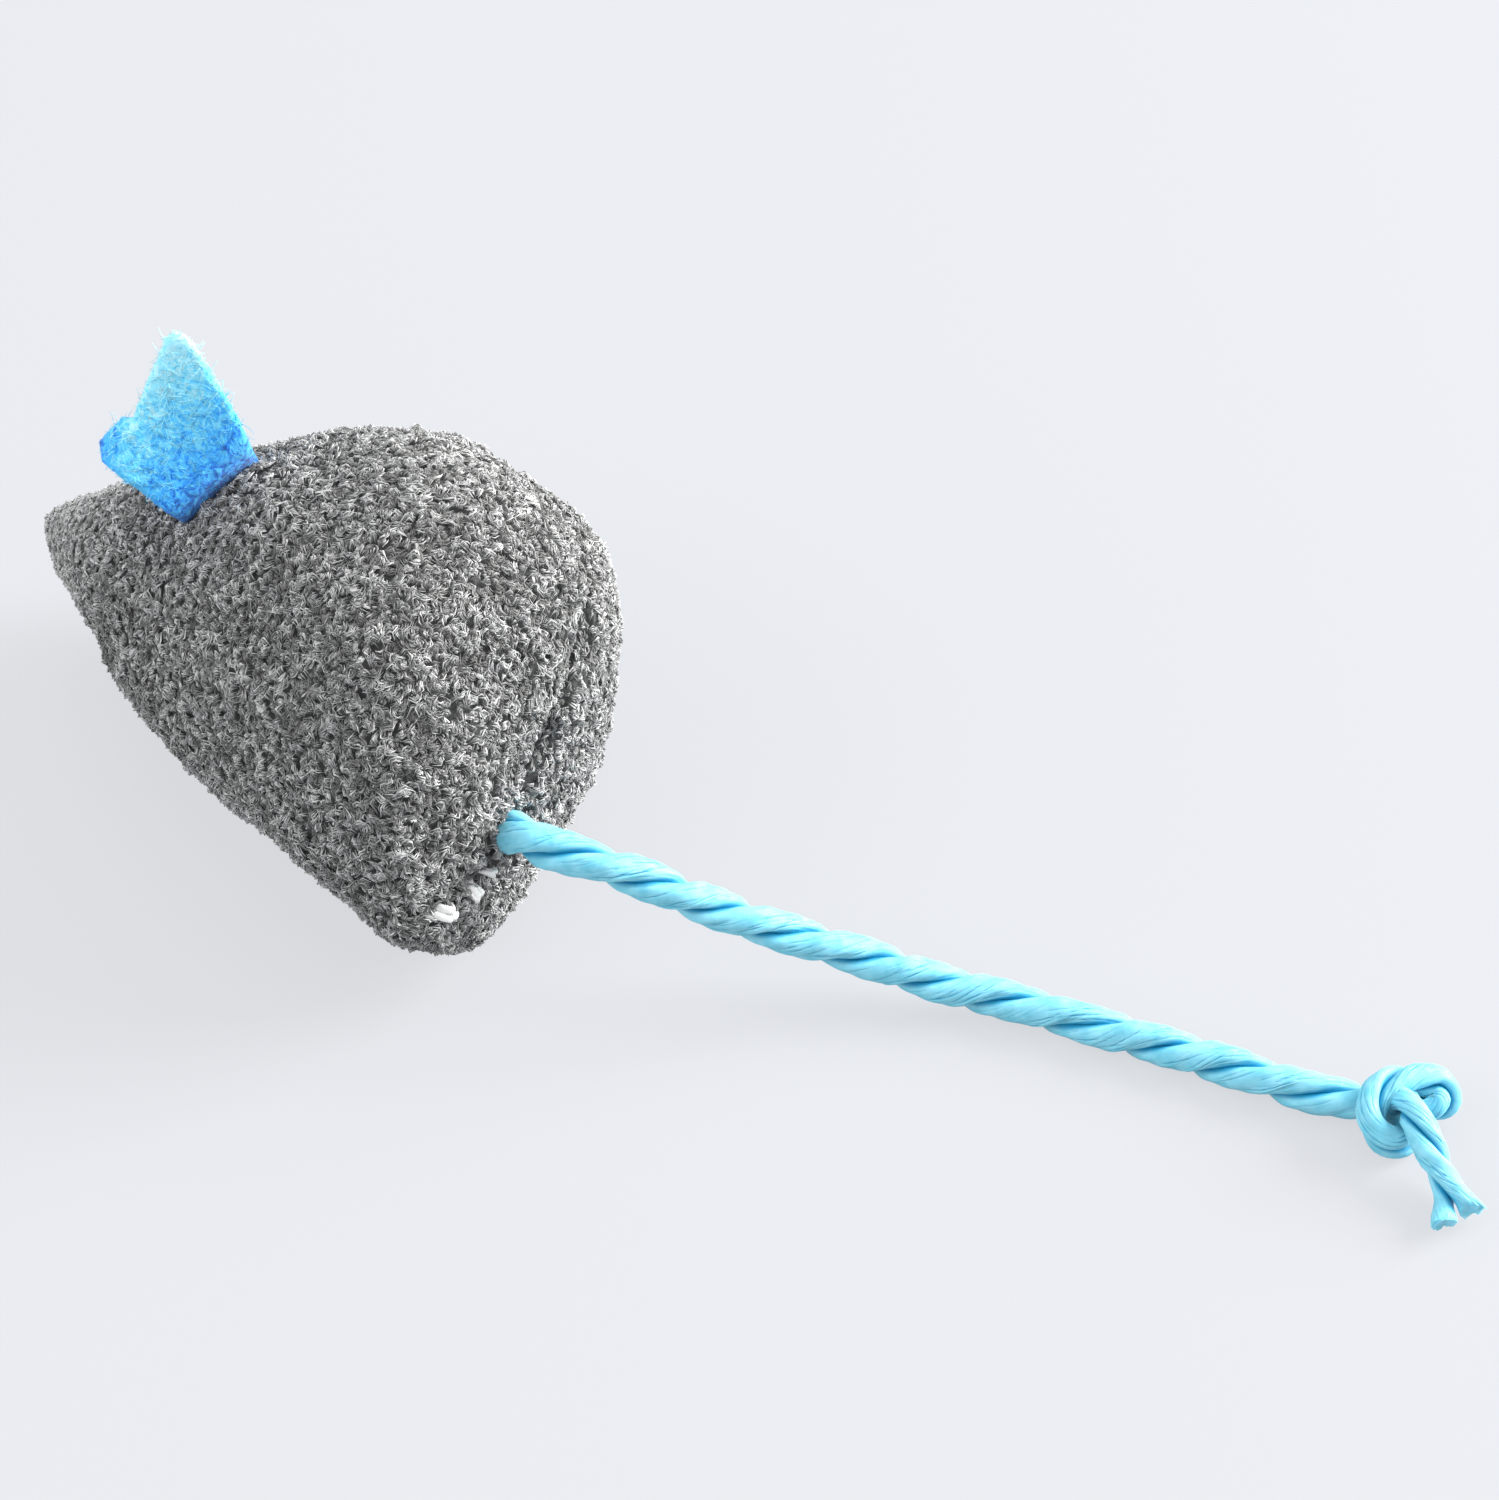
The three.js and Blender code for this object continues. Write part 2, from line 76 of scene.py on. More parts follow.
def linear(code):
    parts = [int(code[i : i + 2], 16) / 255 for i in (0, 2, 4)]
    return tuple(p / 12.92 if p <= 0.04045 else ((p + 0.055) / 1.055) ** 2.4 for p in parts) + (1.0,)


def node(tree, kind, inputs=(), **settings):
    made = tree.nodes.new(kind)
    for name, value in settings.items():
        setattr(made, name, value)
    for name, value in dict(inputs).items():
        if isinstance(value, bpy.types.NodeSocket):
            tree.links.new(value, made.inputs[name])
        else:
            made.inputs[name].default_value = value
    return made


def stuff(name, roughness, colour=None):
    made = bpy.data.materials.new(name)
    made.use_nodes = True
    shader = made.node_tree.nodes["Principled BSDF"]
    shader.inputs["Roughness"].default_value = roughness
    if colour:
        shader.inputs["Base Color"].default_value = linear(colour)
    return made, made.node_tree, shader


def piece(name, points, faces, material, body):
    mesh = bpy.data.meshes.new(name)
    mesh.from_pydata(points, [], faces)
    mesh.polygons.foreach_set("use_smooth", [len(face) <= 4 for face in faces])
    mesh.materials.append(material)
    made = bpy.data.objects.new(name, mesh)
    bpy.context.collection.objects.link(made)
    if body:
        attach(made, body)
    return made


# Closed skin over rings of points, each ring counted round the way it goes
def lofted(rings):
    count, around = rings.shape[:2]
    i, j = np.meshgrid(np.arange(count - 1), np.arange(around), indexing="ij")
    after = (j + 1) % around
    corners = [i * around + j, i * around + after, (i + 1) * around + after, (i + 1) * around + j]
    faces = np.stack(corners, -1).reshape(-1, 4).tolist()
    faces.append(list(range(around))[::-1])
    faces.append(list(range((count - 1) * around, count * around)))
    return rings.reshape(-1, 3), faces


# Smooth random field of about unit size whose lumps are as long as the size given
def drift(points, size, seed):
    count = 20
    dice = np.random.default_rng(seed)
    waves = dice.normal(size=(count, 3))
    waves *= (dice.uniform(0.7, 1.4, count) * 2 * pi / size / np.linalg.norm(waves, axis=1))[:, None]
    return np.sin(np.asarray(points) @ waves.T + dice.uniform(0, 2 * pi, count)).sum(-1) / (count / 2) ** 0.5


turn = np.linspace(0, 2 * pi, WAD_SIDES, endpoint=False)
tilt = np.linspace(WAD_TIP, pi - WAD_TIP, WAD_RINGS)
half = np.where(tilt < pi / 2, 0, WAD_LENGTH)
wad_rings = np.stack(
    [
        np.repeat((WAD_FRONT + half - WAD_RADIUS * np.cos(tilt))[:, None], WAD_SIDES, 1),
        WAD_RADIUS * np.sin(tilt)[:, None] * np.cos(turn),
        WAD_RADIUS * np.sin(tilt)[:, None] * np.sin(turn),
    ],
    -1,
)
middle = np.array([WAD_FRONT + WAD_LENGTH / 2, 0, 0])
pinched = WAD_IN_POCKET + WAD_LUMP * drift(wad_rings, WAD_LUMP_LENGTH, seed=1)
wad_rings = middle + (wad_rings - middle) * pinched[..., None]

# Dried leaf: crumbs of olive green and straw, dull all over
leaf, tree, shader = stuff("dried_crumbled_leaf", 0.95)
place = node(tree, "ShaderNodeTexCoord").outputs["Object"]
crumbs = node(tree, "ShaderNodeTexVoronoi", {"Vector": place, "Scale": 1 / (CRUMB * MILLIMETRE)})
shades = node(tree, "ShaderNodeValToRGB", {"Fac": crumbs.outputs["Color"]})
shades.color_ramp.elements[0].color = linear("5c6436")
shades.color_ramp.elements[1].color = linear("a39a64")
tree.links.new(shades.outputs["Color"], shader.inputs["Base Color"])
lift = node(tree, "ShaderNodeBump", {"Strength": 0.8, "Distance": 0.0005, "Height": crumbs.outputs["Distance"]})
tree.links.new(lift.outputs["Normal"], shader.inputs["Normal"])

points, faces = lofted(wad_rings)
wad = piece("crumbled_catnip_wad", placed(points), faces, leaf, "body")
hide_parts("catnip_wad")

# Fibre filling
# Loose white polyester fibre, teased out and pushed in through the gap below the tail until the cover is tight.
# It fills the cover from nose to rear seam, a little short of the turned-in seam edges.
LENGTH = 65.4
NOSE_RADIUS = 2.0
BACK = (22.4, 0.67, 1.3, 0.58, 0.29)
BELLY = (21.2, 0.96, 1.93, 0.5, 0.5)
FLANK = (18.0, 0.78, 2.0, 0.45, 0.0)
FIBRE_INSET = 3.5
FIBRE_LUMP = 0.25
FIBRE_LUMP_LENGTH = 6
FIBRE_RINGS = 60
FIBRE_SIDES = 64
FIBRE_TUFT = 3.0
# How many times its inset an inner layer stops short of the nose tip and of the rear seam
NOSE_SHORT = 1.9
REAR_SHORT = 1.1


# Half-size of one side at a place along the body: its size, where it is fullest, how it rises, closes and ends
def swell(along, size, fullest, rise, close, left):
    top = fullest * LENGTH
    reach = np.sqrt((along**2 + 2 * NOSE_RADIUS * along) / (top**2 + 2 * NOSE_RADIUS * top))
    past = np.clip((along - top) / (LENGTH - top), 0, 1)
    front = 1 - (1 - np.clip(reach, 0, 1)) ** rise
    return size * np.where(along < top, front, left + (1 - left) * (1 - past**3) ** close)


# Point of the cover drawn in by an inset, at a share of the length and an angle from the back
def skin(share, angle, inset=0.0):
    along = share * LENGTH
    back, belly, flank = (swell(along, *side) * (1 - inset / side[0]) for side in (BACK, BELLY, FLANK))
    x = NOSE_SHORT * inset + share * (LENGTH - (NOSE_SHORT + REAR_SHORT) * inset)
    return np.stack([x, (back - belly + (back + belly) * np.cos(angle)) / 2, flank * np.sin(angle)], -1)


# Shares of the length at which rings stand, closer towards both ends, which are left open by a small angle
def ring_shares(count, nose, rear):
    return (1 - np.cos(np.linspace(nose, pi - rear, count))) / 2


share = ring_shares(FIBRE_RINGS, nose=0.02, rear=0.02)
share, angle = np.meshgrid(share, np.linspace(0, 2 * pi, FIBRE_SIDES, endpoint=False), indexing="ij")
fibre_lumps = FIBRE_LUMP * drift(skin(share, angle), FIBRE_LUMP_LENGTH, seed=2)
fibre_rings = skin(share, angle, FIBRE_INSET + fibre_lumps)

# Polyester fibre: white, with soft hollows between the tufts
fibre, tree, shader = stuff("loose_polyester_fibre", 1.0, "ecece8")
place = node(tree, "ShaderNodeTexCoord").outputs["Object"]
tufts = node(tree, "ShaderNodeTexNoise", {"Vector": place, "Scale": 1 / (FIBRE_TUFT * MILLIMETRE), "Detail": 6.0})
lift = node(tree, "ShaderNodeBump", {"Strength": 0.7, "Distance": 0.001, "Height": tufts.outputs["Fac"]})
tree.links.new(lift.outputs["Normal"], shader.inputs["Normal"])

points, faces = lofted(fibre_rings)
filling = piece("loose_fibre_filling", placed(points), faces, fibre, "body")
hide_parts("fibre_filling")

# Terry cover, ground cloth
# Two mirror-image panels of knitted grey terry, sewn right sides together and turned out, so that their edges
# turn in as lips along the seam. The stuffing swells them and the seam pulls a furrow between them.
PILE_HEIGHT = 0.95
NOSE_PILE = 0.35
NOSE_WORN = 18.0
COVER_THICKNESS = 1.0
COVER_RINGS = 90
COVER_SIDES = 72
KNIT = 0.8
LIP = 3.0
LIP_THICKNESS = 0.75
LIP_APART = 0.08
FLOOR = 0.03
GROUND_FLOOR = 0.3

# Furrow of the machine seam, the hand-sewn corner where it stops, and the rear stretch where it gapes
FURROW_DEPTH = 1.1
FURROW_WIDTH = 1.2
HAND_SEWN_FROM = 0.8
HAND_SEWN_FADE = 0.1
HAND_SEWN_TOP = -10.5
HAND_SEWN_RISE = 3
GAPE = 0.15
GAPE_LENGTH = 5
GAPE_SEED = 247
GAPE_FROM = 48
GAPE_FADE = 8
GAPE_LOW = -14
GAPE_RISE = 4
GAPE_CONTRAST = 1.5
GAPE_CLOSED = 0.3

# Slack fold behind the snout: its ridge, which leans with the height, and the hollow in front of it
FOLD_ALONG = 20.5
FOLD_LEAN = 0.12
FOLD_WIDTH = 1.6
FOLD_HEIGHT = 0.45
FOLD_FROM_SEAM = 5
HOLLOW_DEPTH = 0.3
FOLD_TO_HOLLOW = 2.6

# Waist along the belly and the swollen rear corner behind it
WAIST_ALONG = 47.5
WAIST_DEPTH = 1.4
WAIST_LENGTH = 5
WAIST_RISE = 8
WAIST_WIDTH = 8
CORNER_ALONG = 60
CORNER_SWELL = 1.8
CORNER_LENGTH = 3.5
CORNER_TOP = -13
CORNER_RISE = 6
CORNER_OUT = 2
CORNER_WIDTH = 6

# Lumps of the stuffing as long waves: radians per millimetre along, up and out, where they start, and height
LUMPS = (
    (0.3, 0.12, 0.1, 0.4, 0.16),
    (-0.18, 0.28, 0.14, 2.1, 0.16),
    (0.22, -0.25, 0.2, 4.0, 0.14),
    (0.1, 0.33, -0.24, 5.2, 0.12),
    (0.41, 0.05, -0.12, 1.3, 0.1),
)
GATHER_HEIGHT = 0.2
GATHER_LENGTH = 5
GATHER_REACH = 4.5
RELIEF_RISE = 22
NOSE_RELIEF = 0.1

# Ends of the slit for an ear: millimetres along the body and degrees round from the back
SLIT_FRONT = (29.8, 78)
SLIT_REAR = (33.6, 55)
SLIT_LIP_HEIGHT = 0.3
SLIT_LIP_RISE = 0.6
SLIT_LIP_WIDTH = 2.2


# Bell-shaped share of a furrow or a ridge, by the distance from its middle
def furrow(out, width):
    return np.exp(-((out / width) ** 2))


# The slits that the ears come through, and the lip that each pushes up, highest at the rear end
slit_ends = (SLIT_FRONT, SLIT_REAR)
slit_front, slit_rear = (skin(np.array(along / LENGTH), radians(round_by)) for along, round_by in slit_ends)
slit = slit_rear - slit_front


def slit_lip(points):
    on_left = points * (1, 1, 0) + np.abs(points) * (0, 0, 1) - slit_front
    share_along = np.clip(on_left @ slit / (slit @ slit), 0, 1)[..., None]
    from_slit = np.linalg.norm(on_left - share_along * slit, axis=-1)
    return (SLIT_LIP_HEIGHT + SLIT_LIP_RISE * share_along[..., 0] ** 2) * furrow(from_slit, SLIT_LIP_WIDTH)


# Soft lumps of the stuffing, puckers that the seam gathers beside itself, a slack fold behind the snout,
# and a waist drawn in along the belly in front of the swollen rear corner
def lumps(points):
    x, y, z = np.moveaxis(points, -1, 0)
    stuffed = sum(size * np.sin(along * x + up * y + out * z + start) for along, up, out, start, size in LUMPS)
    gathers = GATHER_HEIGHT * drift(points * (1, 1, 0.3), GATHER_LENGTH, seed=4) * furrow(z, GATHER_REACH)
    behind_ridge = x - FOLD_ALONG - FOLD_LEAN * y
    ridge = FOLD_HEIGHT * furrow(behind_ridge, FOLD_WIDTH)
    slack = ridge - HOLLOW_DEPTH * furrow(behind_ridge + FOLD_TO_HOLLOW, FOLD_WIDTH)
    raised = stuffed + gathers + slack * np.clip(z / FOLD_FROM_SEAM, 0, 1)
    raised = raised * np.clip(x / RELIEF_RISE, NOSE_RELIEF, 1)
    waist = WAIST_DEPTH * furrow(x - WAIST_ALONG, WAIST_LENGTH)
    waist = waist * np.clip(-y / WAIST_RISE, 0, 1) * furrow(z, WAIST_WIDTH)
    corner_swell = CORNER_SWELL * furrow(x - CORNER_ALONG, CORNER_LENGTH)
    corner_swell = corner_swell * np.clip((CORNER_TOP - y) / CORNER_RISE, 0, 1) * furrow(z - CORNER_OUT, CORNER_WIDTH)
    return raised + slit_lip(points) - waist + corner_swell


# How deep the machine seam's furrow is, from none to full: none at the worn nose and the hand-sewn corner
def seam_furrow(points):
    x, y, z = np.moveaxis(points, -1, 0)
    at_rear = np.clip((x / LENGTH - HAND_SEWN_FROM) / HAND_SEWN_FADE, 0, 1)
    by_hand = at_rear * (1 - np.clip((y - HAND_SEWN_TOP) / HAND_SEWN_RISE, 0, 1))
    return furrow(z, FURROW_WIDTH) * (1 - by_hand) * np.clip(x / NOSE_WORN, 0, 1)


# How far the seam gapes at a place along it, from closed to wide open, round the rear alone
def gape(points):
    x, y, _ = np.moveaxis(points, -1, 0)
    at_rear = np.clip((x - GAPE_FROM) / GAPE_FADE, 0, 1) * np.clip((y - GAPE_LOW) / GAPE_RISE, 0, 1)
    opened = GAPE_CONTRAST * drift(points * (1, 1, 0), GAPE_LENGTH, GAPE_SEED) - GAPE_CLOSED
    return np.clip(opened, 0, 1) * at_rear


# Keeps cloth off the floor, pressing what would sink below it
def pressed(points, least=FLOOR):
    points[..., 2] = np.maximum(points[..., 2], least * MILLIMETRE)
    return points


# Knitted ground of the terry, with a fine knit relief: painted dark grey as the shade down between the loops, and
# painted paler towards the nose as painted light
ground, tree, shader = stuff("knitted_terry_ground", 0.95)
place = node(tree, "ShaderNodeTexCoord").outputs["Object"]
knit = node(tree, "ShaderNodeTexNoise", {"Vector": place, "Scale": 1 / (KNIT * MILLIMETRE), "Detail": 4.0})
shades = node(tree, "ShaderNodeValToRGB", {"Fac": knit.outputs["Fac"]})
shades.color_ramp.elements[0].color = linear("3e3f3f")
shades.color_ramp.elements[1].color = linear("6a6a6a")
# Painted light: towards the nose the ground is mixed with a pale grey
nose_painted_light = node(tree, "ShaderNodeAttribute", attribute_name="nose_painted_light")
nose_lightening = {"Factor": nose_painted_light.outputs["Fac"], "A": shades.outputs["Color"], "B": linear("a6a6a4")}
lightened_ground = node(tree, "ShaderNodeMix", nose_lightening, data_type="RGBA")
tree.links.new(lightened_ground.outputs["Result"], shader.inputs["Base Color"])
lift = node(tree, "ShaderNodeBump", {"Strength": 0.8, "Distance": 0.0004, "Height": knit.outputs["Fac"]})
tree.links.new(lift.outputs["Normal"], shader.inputs["Normal"])

share = ring_shares(COVER_RINGS, nose=0.03, rear=0)
for side, start in (("left", 0), ("right", pi)):
    out_of_seam = 1 if side == "left" else -1
    s, a = np.meshgrid(share, start + np.linspace(0, pi, COVER_SIDES), indexing="ij")
    bare = skin(s, a)
    depth = PILE_HEIGHT * np.clip(bare[..., 0] / NOSE_WORN, NOSE_PILE, 1)
    depth = depth - lumps(bare) + FURROW_DEPTH * seam_furrow(bare)
    outer = skin(s, a, depth)
    inner = skin(s, a, depth + COVER_THICKNESS)
    lip = skin(s[:, :1], a[:, :1], depth[:, :1] + LIP), skin(s[:, -1:], a[:, -1:], depth[:, -1:] + LIP)
    for sheet, behind in ((outer, 0), (inner, LIP_THICKNESS), (lip[0], 0), (lip[1], 0)):
        least = LIP_APART + GAPE * gape(sheet) + behind
        sheet[..., 2] = out_of_seam * np.maximum(sheet[..., 2] * out_of_seam, least)
    lip_back = [edge + (0, 0, LIP_THICKNESS * out_of_seam) for edge in lip]
    loop = np.concatenate([outer, lip[1], lip_back[1], inner[:, ::-1], lip_back[0], lip[0]], 1)
    points, faces = lofted(loop)
    cover = piece(f"{side}_terry_ground", pressed(placed(points), GROUND_FLOOR), faces, ground, "body")
    # Share of painted light on the ground, full at the nose tip and fading to none a snout's length back
    nose_light_layer = cover.data.attributes.new("nose_painted_light", "FLOAT", "POINT")
    nose_light_layer.data.foreach_set("value", np.clip(1 - points[:, 0] / NOSE_WORN, 0, 1).astype(np.float32))
    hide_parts(f"{side}_panel")

# Terry cover, loop pile
# Soft crimped loops stand all over the ground cloth, each a curl of a few fine filaments lying side by side.
# They crowd into tufts, part in hollows in rows round the body, shaded there and painted darker too, and leave the
# gapes of the rear seam bare.
LOOPS_SOWN = 27400
EVEN_STEPS = (0.7548776662, 0.5698402910)
SOWING_SCATTER = 0.0032
CLOTH_RINGS = 300
CLOTH_SIDES = 239
SEAM_BARE = 0.08
GAPE_BARE = 0.5
LOOP_SEAT = 0.45
LOOP_UNEVEN = 0.06
LOOP_RADIUS = (0.34, 0.7)
LOOP_SWEEP = (1.2, 2.5)
LOOP_RISE = (0.12, 0.42)
SNOUT_LOOPS = 0.45
SEAM_SINK = 1.3
SEAM_CLOSED = 0.6
COMBED = 1.8
COMBED_LENGTH = 4
STRAY = 1.0
ROW_SPACING = 2.1
ROW_SHARE = 0.35
ROW_WANDER = 1.8
ROW_WANDER_LENGTH = 7
TUFT_WIDTH = 2.2
TUFT_SHARE = 0.6
TUFT_RISE = 0.15
TUFT_PROUD = 0.25
PATCH_WIDTH = 5
PATCH_SHARE = 0.25
FILAMENTS = 4
FILAMENT_THICKNESS = 0.15
FILAMENT_SPACING = 0.14
FILAMENT_SCATTER = 0.04
FILAMENT_SLIP = 0.12
FILAMENT_UNEVEN = 0.05
FILAMENT_VARIES = (0.7, 1.2)
MIDDLE_PROUD = 6
LEAST_RADIUS = 0.1
FILAMENT_TAPER = np.array([0.45, 1.1, 0.45])
RINGS = len(FILAMENT_TAPER)

# Sown at even steps by the area of the cloth, with a little scatter
share = ring_shares(CLOTH_RINGS, nose=0.02, rear=1e-3)
grid_share, grid_angle = np.meshgrid(share, np.linspace(0, 2 * pi, CLOTH_SIDES + 1), indexing="ij")
grid = skin(grid_share, grid_angle)
across = np.cross(grid[1:, :-1] - grid[:-1, :-1], grid[:-1, 1:] - grid[:-1, :-1])
cloth = np.linalg.norm(across, axis=-1)
dice = np.random.default_rng(11)
sown = np.arange(1, LOOPS_SOWN + 1)[:, None] * EVEN_STEPS
sown = (sown + dice.normal(0, SOWING_SCATTER, sown.shape)) % 1
rows_sum = np.concatenate([[0], cloth.sum(1).cumsum()])
s = np.interp(sown[:, 0], rows_sum / rows_sum[-1], share)
row = np.clip(np.searchsorted(share, s) - 1, 0, len(cloth) - 1)
round_sum = cloth.cumsum(1) / cloth.sum(1)[:, None]
column = (round_sum[row] < sown[:, 1:]).sum(1)
a = (column + dice.random(LOOPS_SOWN)) * 2 * pi / CLOTH_SIDES
here = skin(s, a)
sewn_on = np.abs(here[:, 2]) > SEAM_BARE + GAPE_BARE * gape(here)
s, a, here = s[sewn_on], a[sewn_on], here[sewn_on]
LOOPS = len(here)
step = 1e-4
along = skin(np.minimum(s + step, 1), a) - skin(np.maximum(s - step, 0), a)
round_body = skin(s, a + step) - skin(s, a - step)
normal = np.cross(round_body, along)
normal /= np.linalg.norm(normal, axis=1)[:, None]
along -= normal * (along * normal).sum(1)[:, None]
along /= np.linalg.norm(along, axis=1)[:, None] + 1e-12
beside = np.cross(normal, along)

# Loops crowd into tufts a couple of millimetres wide, and the hollows between stay low, where they are shaded and
# their loops are painted darker
rows = np.sin(2 * pi * here[:, 0] / ROW_SPACING + ROW_WANDER * drift(here, ROW_WANDER_LENGTH, seed=15))
tuft = TUFT_SHARE * drift(here, TUFT_WIDTH, seed=12) + PATCH_SHARE * drift(here, PATCH_WIDTH, seed=13)
tuft = tuft + ROW_SHARE * rows
snout = np.clip(here[:, 0] / NOSE_WORN, SNOUT_LOOPS, 1)
seam = seam_furrow(here) * (SEAM_CLOSED + (1 - SEAM_CLOSED) * gape(here))
height = (-LOOP_SEAT + TUFT_RISE * tuft + dice.normal(0, LOOP_UNEVEN, LOOPS)) * snout + lumps(here) - SEAM_SINK * seam

heading = COMBED * drift(here, COMBED_LENGTH, seed=16) + dice.normal(0, STRAY, LOOPS)
lean = np.cos(heading)[:, None] * along + np.sin(heading)[:, None] * beside
turned = dice.choice([-1, 1], LOOPS)
flank_way = np.cross(normal, lean) * turned[:, None]
radius = dice.uniform(*LOOP_RADIUS, LOOPS) * snout**0.5
sweep = dice.uniform(*LOOP_SWEEP, LOOPS)
rise = dice.uniform(*LOOP_RISE, LOOPS) * (1 + TUFT_PROUD * np.clip(tuft, -1, 1)) * snout

# Filaments of a loop run round one centre, the middle ones standing a little higher
place = (np.arange(FILAMENTS) - (FILAMENTS - 1) / 2) * FILAMENT_SPACING
place = place + dice.normal(0, FILAMENT_SCATTER, (LOOPS, FILAMENTS))
round_by = np.maximum(radius[:, None] + place * snout[:, None], LEAST_RADIUS)[..., None]
way = np.linspace(-0.5, 0.5, RINGS)
bend = (way + dice.normal(0, FILAMENT_SLIP, (LOOPS, FILAMENTS, 1))) * sweep[:, None, None]
proud = rise[:, None] * (1 - MIDDLE_PROUD * place**2) + dice.normal(0, FILAMENT_UNEVEN, (LOOPS, FILAMENTS))
proud = proud[..., None] * np.cos(pi * way)
line = (here + normal * height[:, None] + flank_way * radius[:, None])[:, None, None]
line = line + lean[:, None, None] * (round_by * np.sin(bend))[..., None]
line = line - flank_way[:, None, None] * (round_by * np.cos(bend))[..., None]
line = line + normal[:, None, None] * proud[..., None]
line = line.reshape(-1, RINGS, 3)
out = np.repeat(normal, FILAMENTS, 0)[:, None]
ahead = np.gradient(line, axis=1)
ahead /= np.linalg.norm(ahead, axis=2)[..., None]
first = np.cross(ahead, np.broadcast_to(out, ahead.shape))
first /= np.linalg.norm(first, axis=2)[..., None] + 1e-9
second = np.cross(ahead, first)
three_ways = np.array([0, 2 * pi / 3, 4 * pi / 3])
thick = FILAMENT_THICKNESS * dice.uniform(*FILAMENT_VARIES, len(line)) / 2
tubes = line[:, :, None] + (thick[:, None] * FILAMENT_TAPER)[..., None, None] * (
    np.cos(three_ways)[:, None] * first[:, :, None] + np.sin(three_ways)[:, None] * second[:, :, None]
)


# Faces of one three-sided thread of so many rings, closed at both ends
def thread_faces(rings):
    i, j = np.meshgrid(np.arange(rings - 1), np.arange(3), indexing="ij")
    quad = np.stack([i * 3 + j, i * 3 + (j + 1) % 3, (i + 1) * 3 + (j + 1) % 3, (i + 1) * 3 + j], -1).reshape(-1, 4)
    last = 3 * rings - 3
    return np.concatenate([quad[:, [0, 1, 2]], quad[:, [0, 2, 3]], [[2, 1, 0]], [[last, last + 1, last + 2]]])


# Crimped polyester loops in four tones of one grey, partly random tone and partly painted light and shade: loops
# standing up in the tufts and at the snout are painted lighter, those lying deep in the hollows painted darker, and
# each loop is streaked along its length by the filaments in it
LOOP_TONES = (("deep", "6e6e6c"), ("dim", "868684"), ("soft", "9e9e9e"), ("bright", "c0c0be"))
STREAKS = (0.72, 1.22)
LOOP_TONE_SCATTER = 0.35
FILAMENT_TONE_SCATTER = 0.6
TUFT_PAINTED_SHADE = 0.6
SNOUT_PAINTED_LIGHT = 1.2
strand = np.repeat(dice.uniform(*STREAKS, (len(line), 1)), 3 * RINGS, 1)
# Painted light and shade: tone rises with the tufts, so loops standing up are painted lighter and those in the
# hollows darker, and the snout is painted lighter still
tone_and_shade = np.repeat(dice.normal(0, LOOP_TONE_SCATTER, LOOPS) + TUFT_PAINTED_SHADE * tuft, FILAMENTS)
tone_and_shade = tone_and_shade + dice.normal(0, FILAMENT_TONE_SCATTER, len(line))
tone_and_shade = tone_and_shade * np.repeat(snout, FILAMENTS) + SNOUT_PAINTED_LIGHT * np.repeat(1 - snout, FILAMENTS)
breaks = np.quantile(tone_and_shade, (0, 0.25, 0.5, 0.75, 1))
breaks[-1] += 1
left_side = np.repeat(here[:, 2] >= 0, FILAMENTS)
for (shade, code), low, high in zip(LOOP_TONES, breaks, breaks[1:]):
    loops, tree, shader = stuff(f"crimped_{shade}_terry_loops", 0.75)
    streak = node(tree, "ShaderNodeAttribute", attribute_name="strand")
    streaking = {0: linear(code)[:3], "Scale": streak.outputs["Fac"]}
    mixed = node(tree, "ShaderNodeVectorMath", streaking, operation="SCALE")
    tree.links.new(mixed.outputs["Vector"], shader.inputs["Base Color"])
    shader.inputs["Sheen Weight"].default_value = 0.15
    for side, on_side in (("left", left_side), ("right", ~left_side)):
        chosen = (tone_and_shade >= low) & (tone_and_shade < high) & on_side
        faces = (np.arange(chosen.sum())[:, None, None] * 3 * RINGS + thread_faces(RINGS)).reshape(-1, 3)
        points = pressed(placed(tubes[chosen].reshape(-1, 3)))
        made = piece(f"{side}_{shade}_terry_loops", points, faces, loops, "body")
        streaks = made.data.attributes.new("strand", "FLOAT", "POINT")
        streaks.data.foreach_set("value", strand[chosen].ravel().astype(np.float32))

# Felt ears
# Each ear is a flap cut with scissors from azure needled felt, pushed through a slit in the cover and sewn in inside.
# It stands out forwards, its front corner curled over, and its cut edges and faces are fuzzy with loose fibre.
FELT_THICKNESS = 1.5
EDGE_ROUND = 0.12
EAR_LIFT = 1.8
EAR_TOP = 13.6
EAR_FOOT = -2.4
EAR_STANDS = (-0.46, 0.41, 0.78)
EAR_OUTLINE = [
    (0.3, -6.8),
    (8.2, -6.8),
    (8.5, -2.0),
    (8.9, -0.6),
    (10.1, 3.3),
    (10.9, 7.6),
    (11.5, 11.6),
    (11.4, 12.8),
    (10.7, 13.6),
    (10.0, 13.5),
    (6.1, 11.2),
    (3.0, 9.4),
    (2.1, 9.9),
    (-0.8, 9.3),
    (-1.6, 8.0),
    (-1.2, 6.6),
    (-0.5, 3.0),
    (-0.1, 0.0),
    (0.1, -1.6),
]
CURL_FROM = (-1.4, 6.4)
CURL_WAY = (0.57, 0.82)
FOOT_TURN = 0.6
FOOT_HEIGHT = 1.8
FOOT_LEAN = 0.12
FOOT_TURN_MOST = 2.4
FLAP_HOLLOW = 0.02
FLAP_MIDDLE = 5
HOLLOW_RISE = 6
BEND = 1.3
RIM_STEP = 0.35
RIM_RAGGED = 0.035
RIM_CLEAR = 0.22
FELT_STEPS = (0.42, 0.38)
FELT_SCATTER = 0.04
FELT_LUMP = 0.05
FELT_LUMP_LENGTH = 0.9
EDGE_HALF = 0.36
FLECK = 0.7
HAIRS = 900
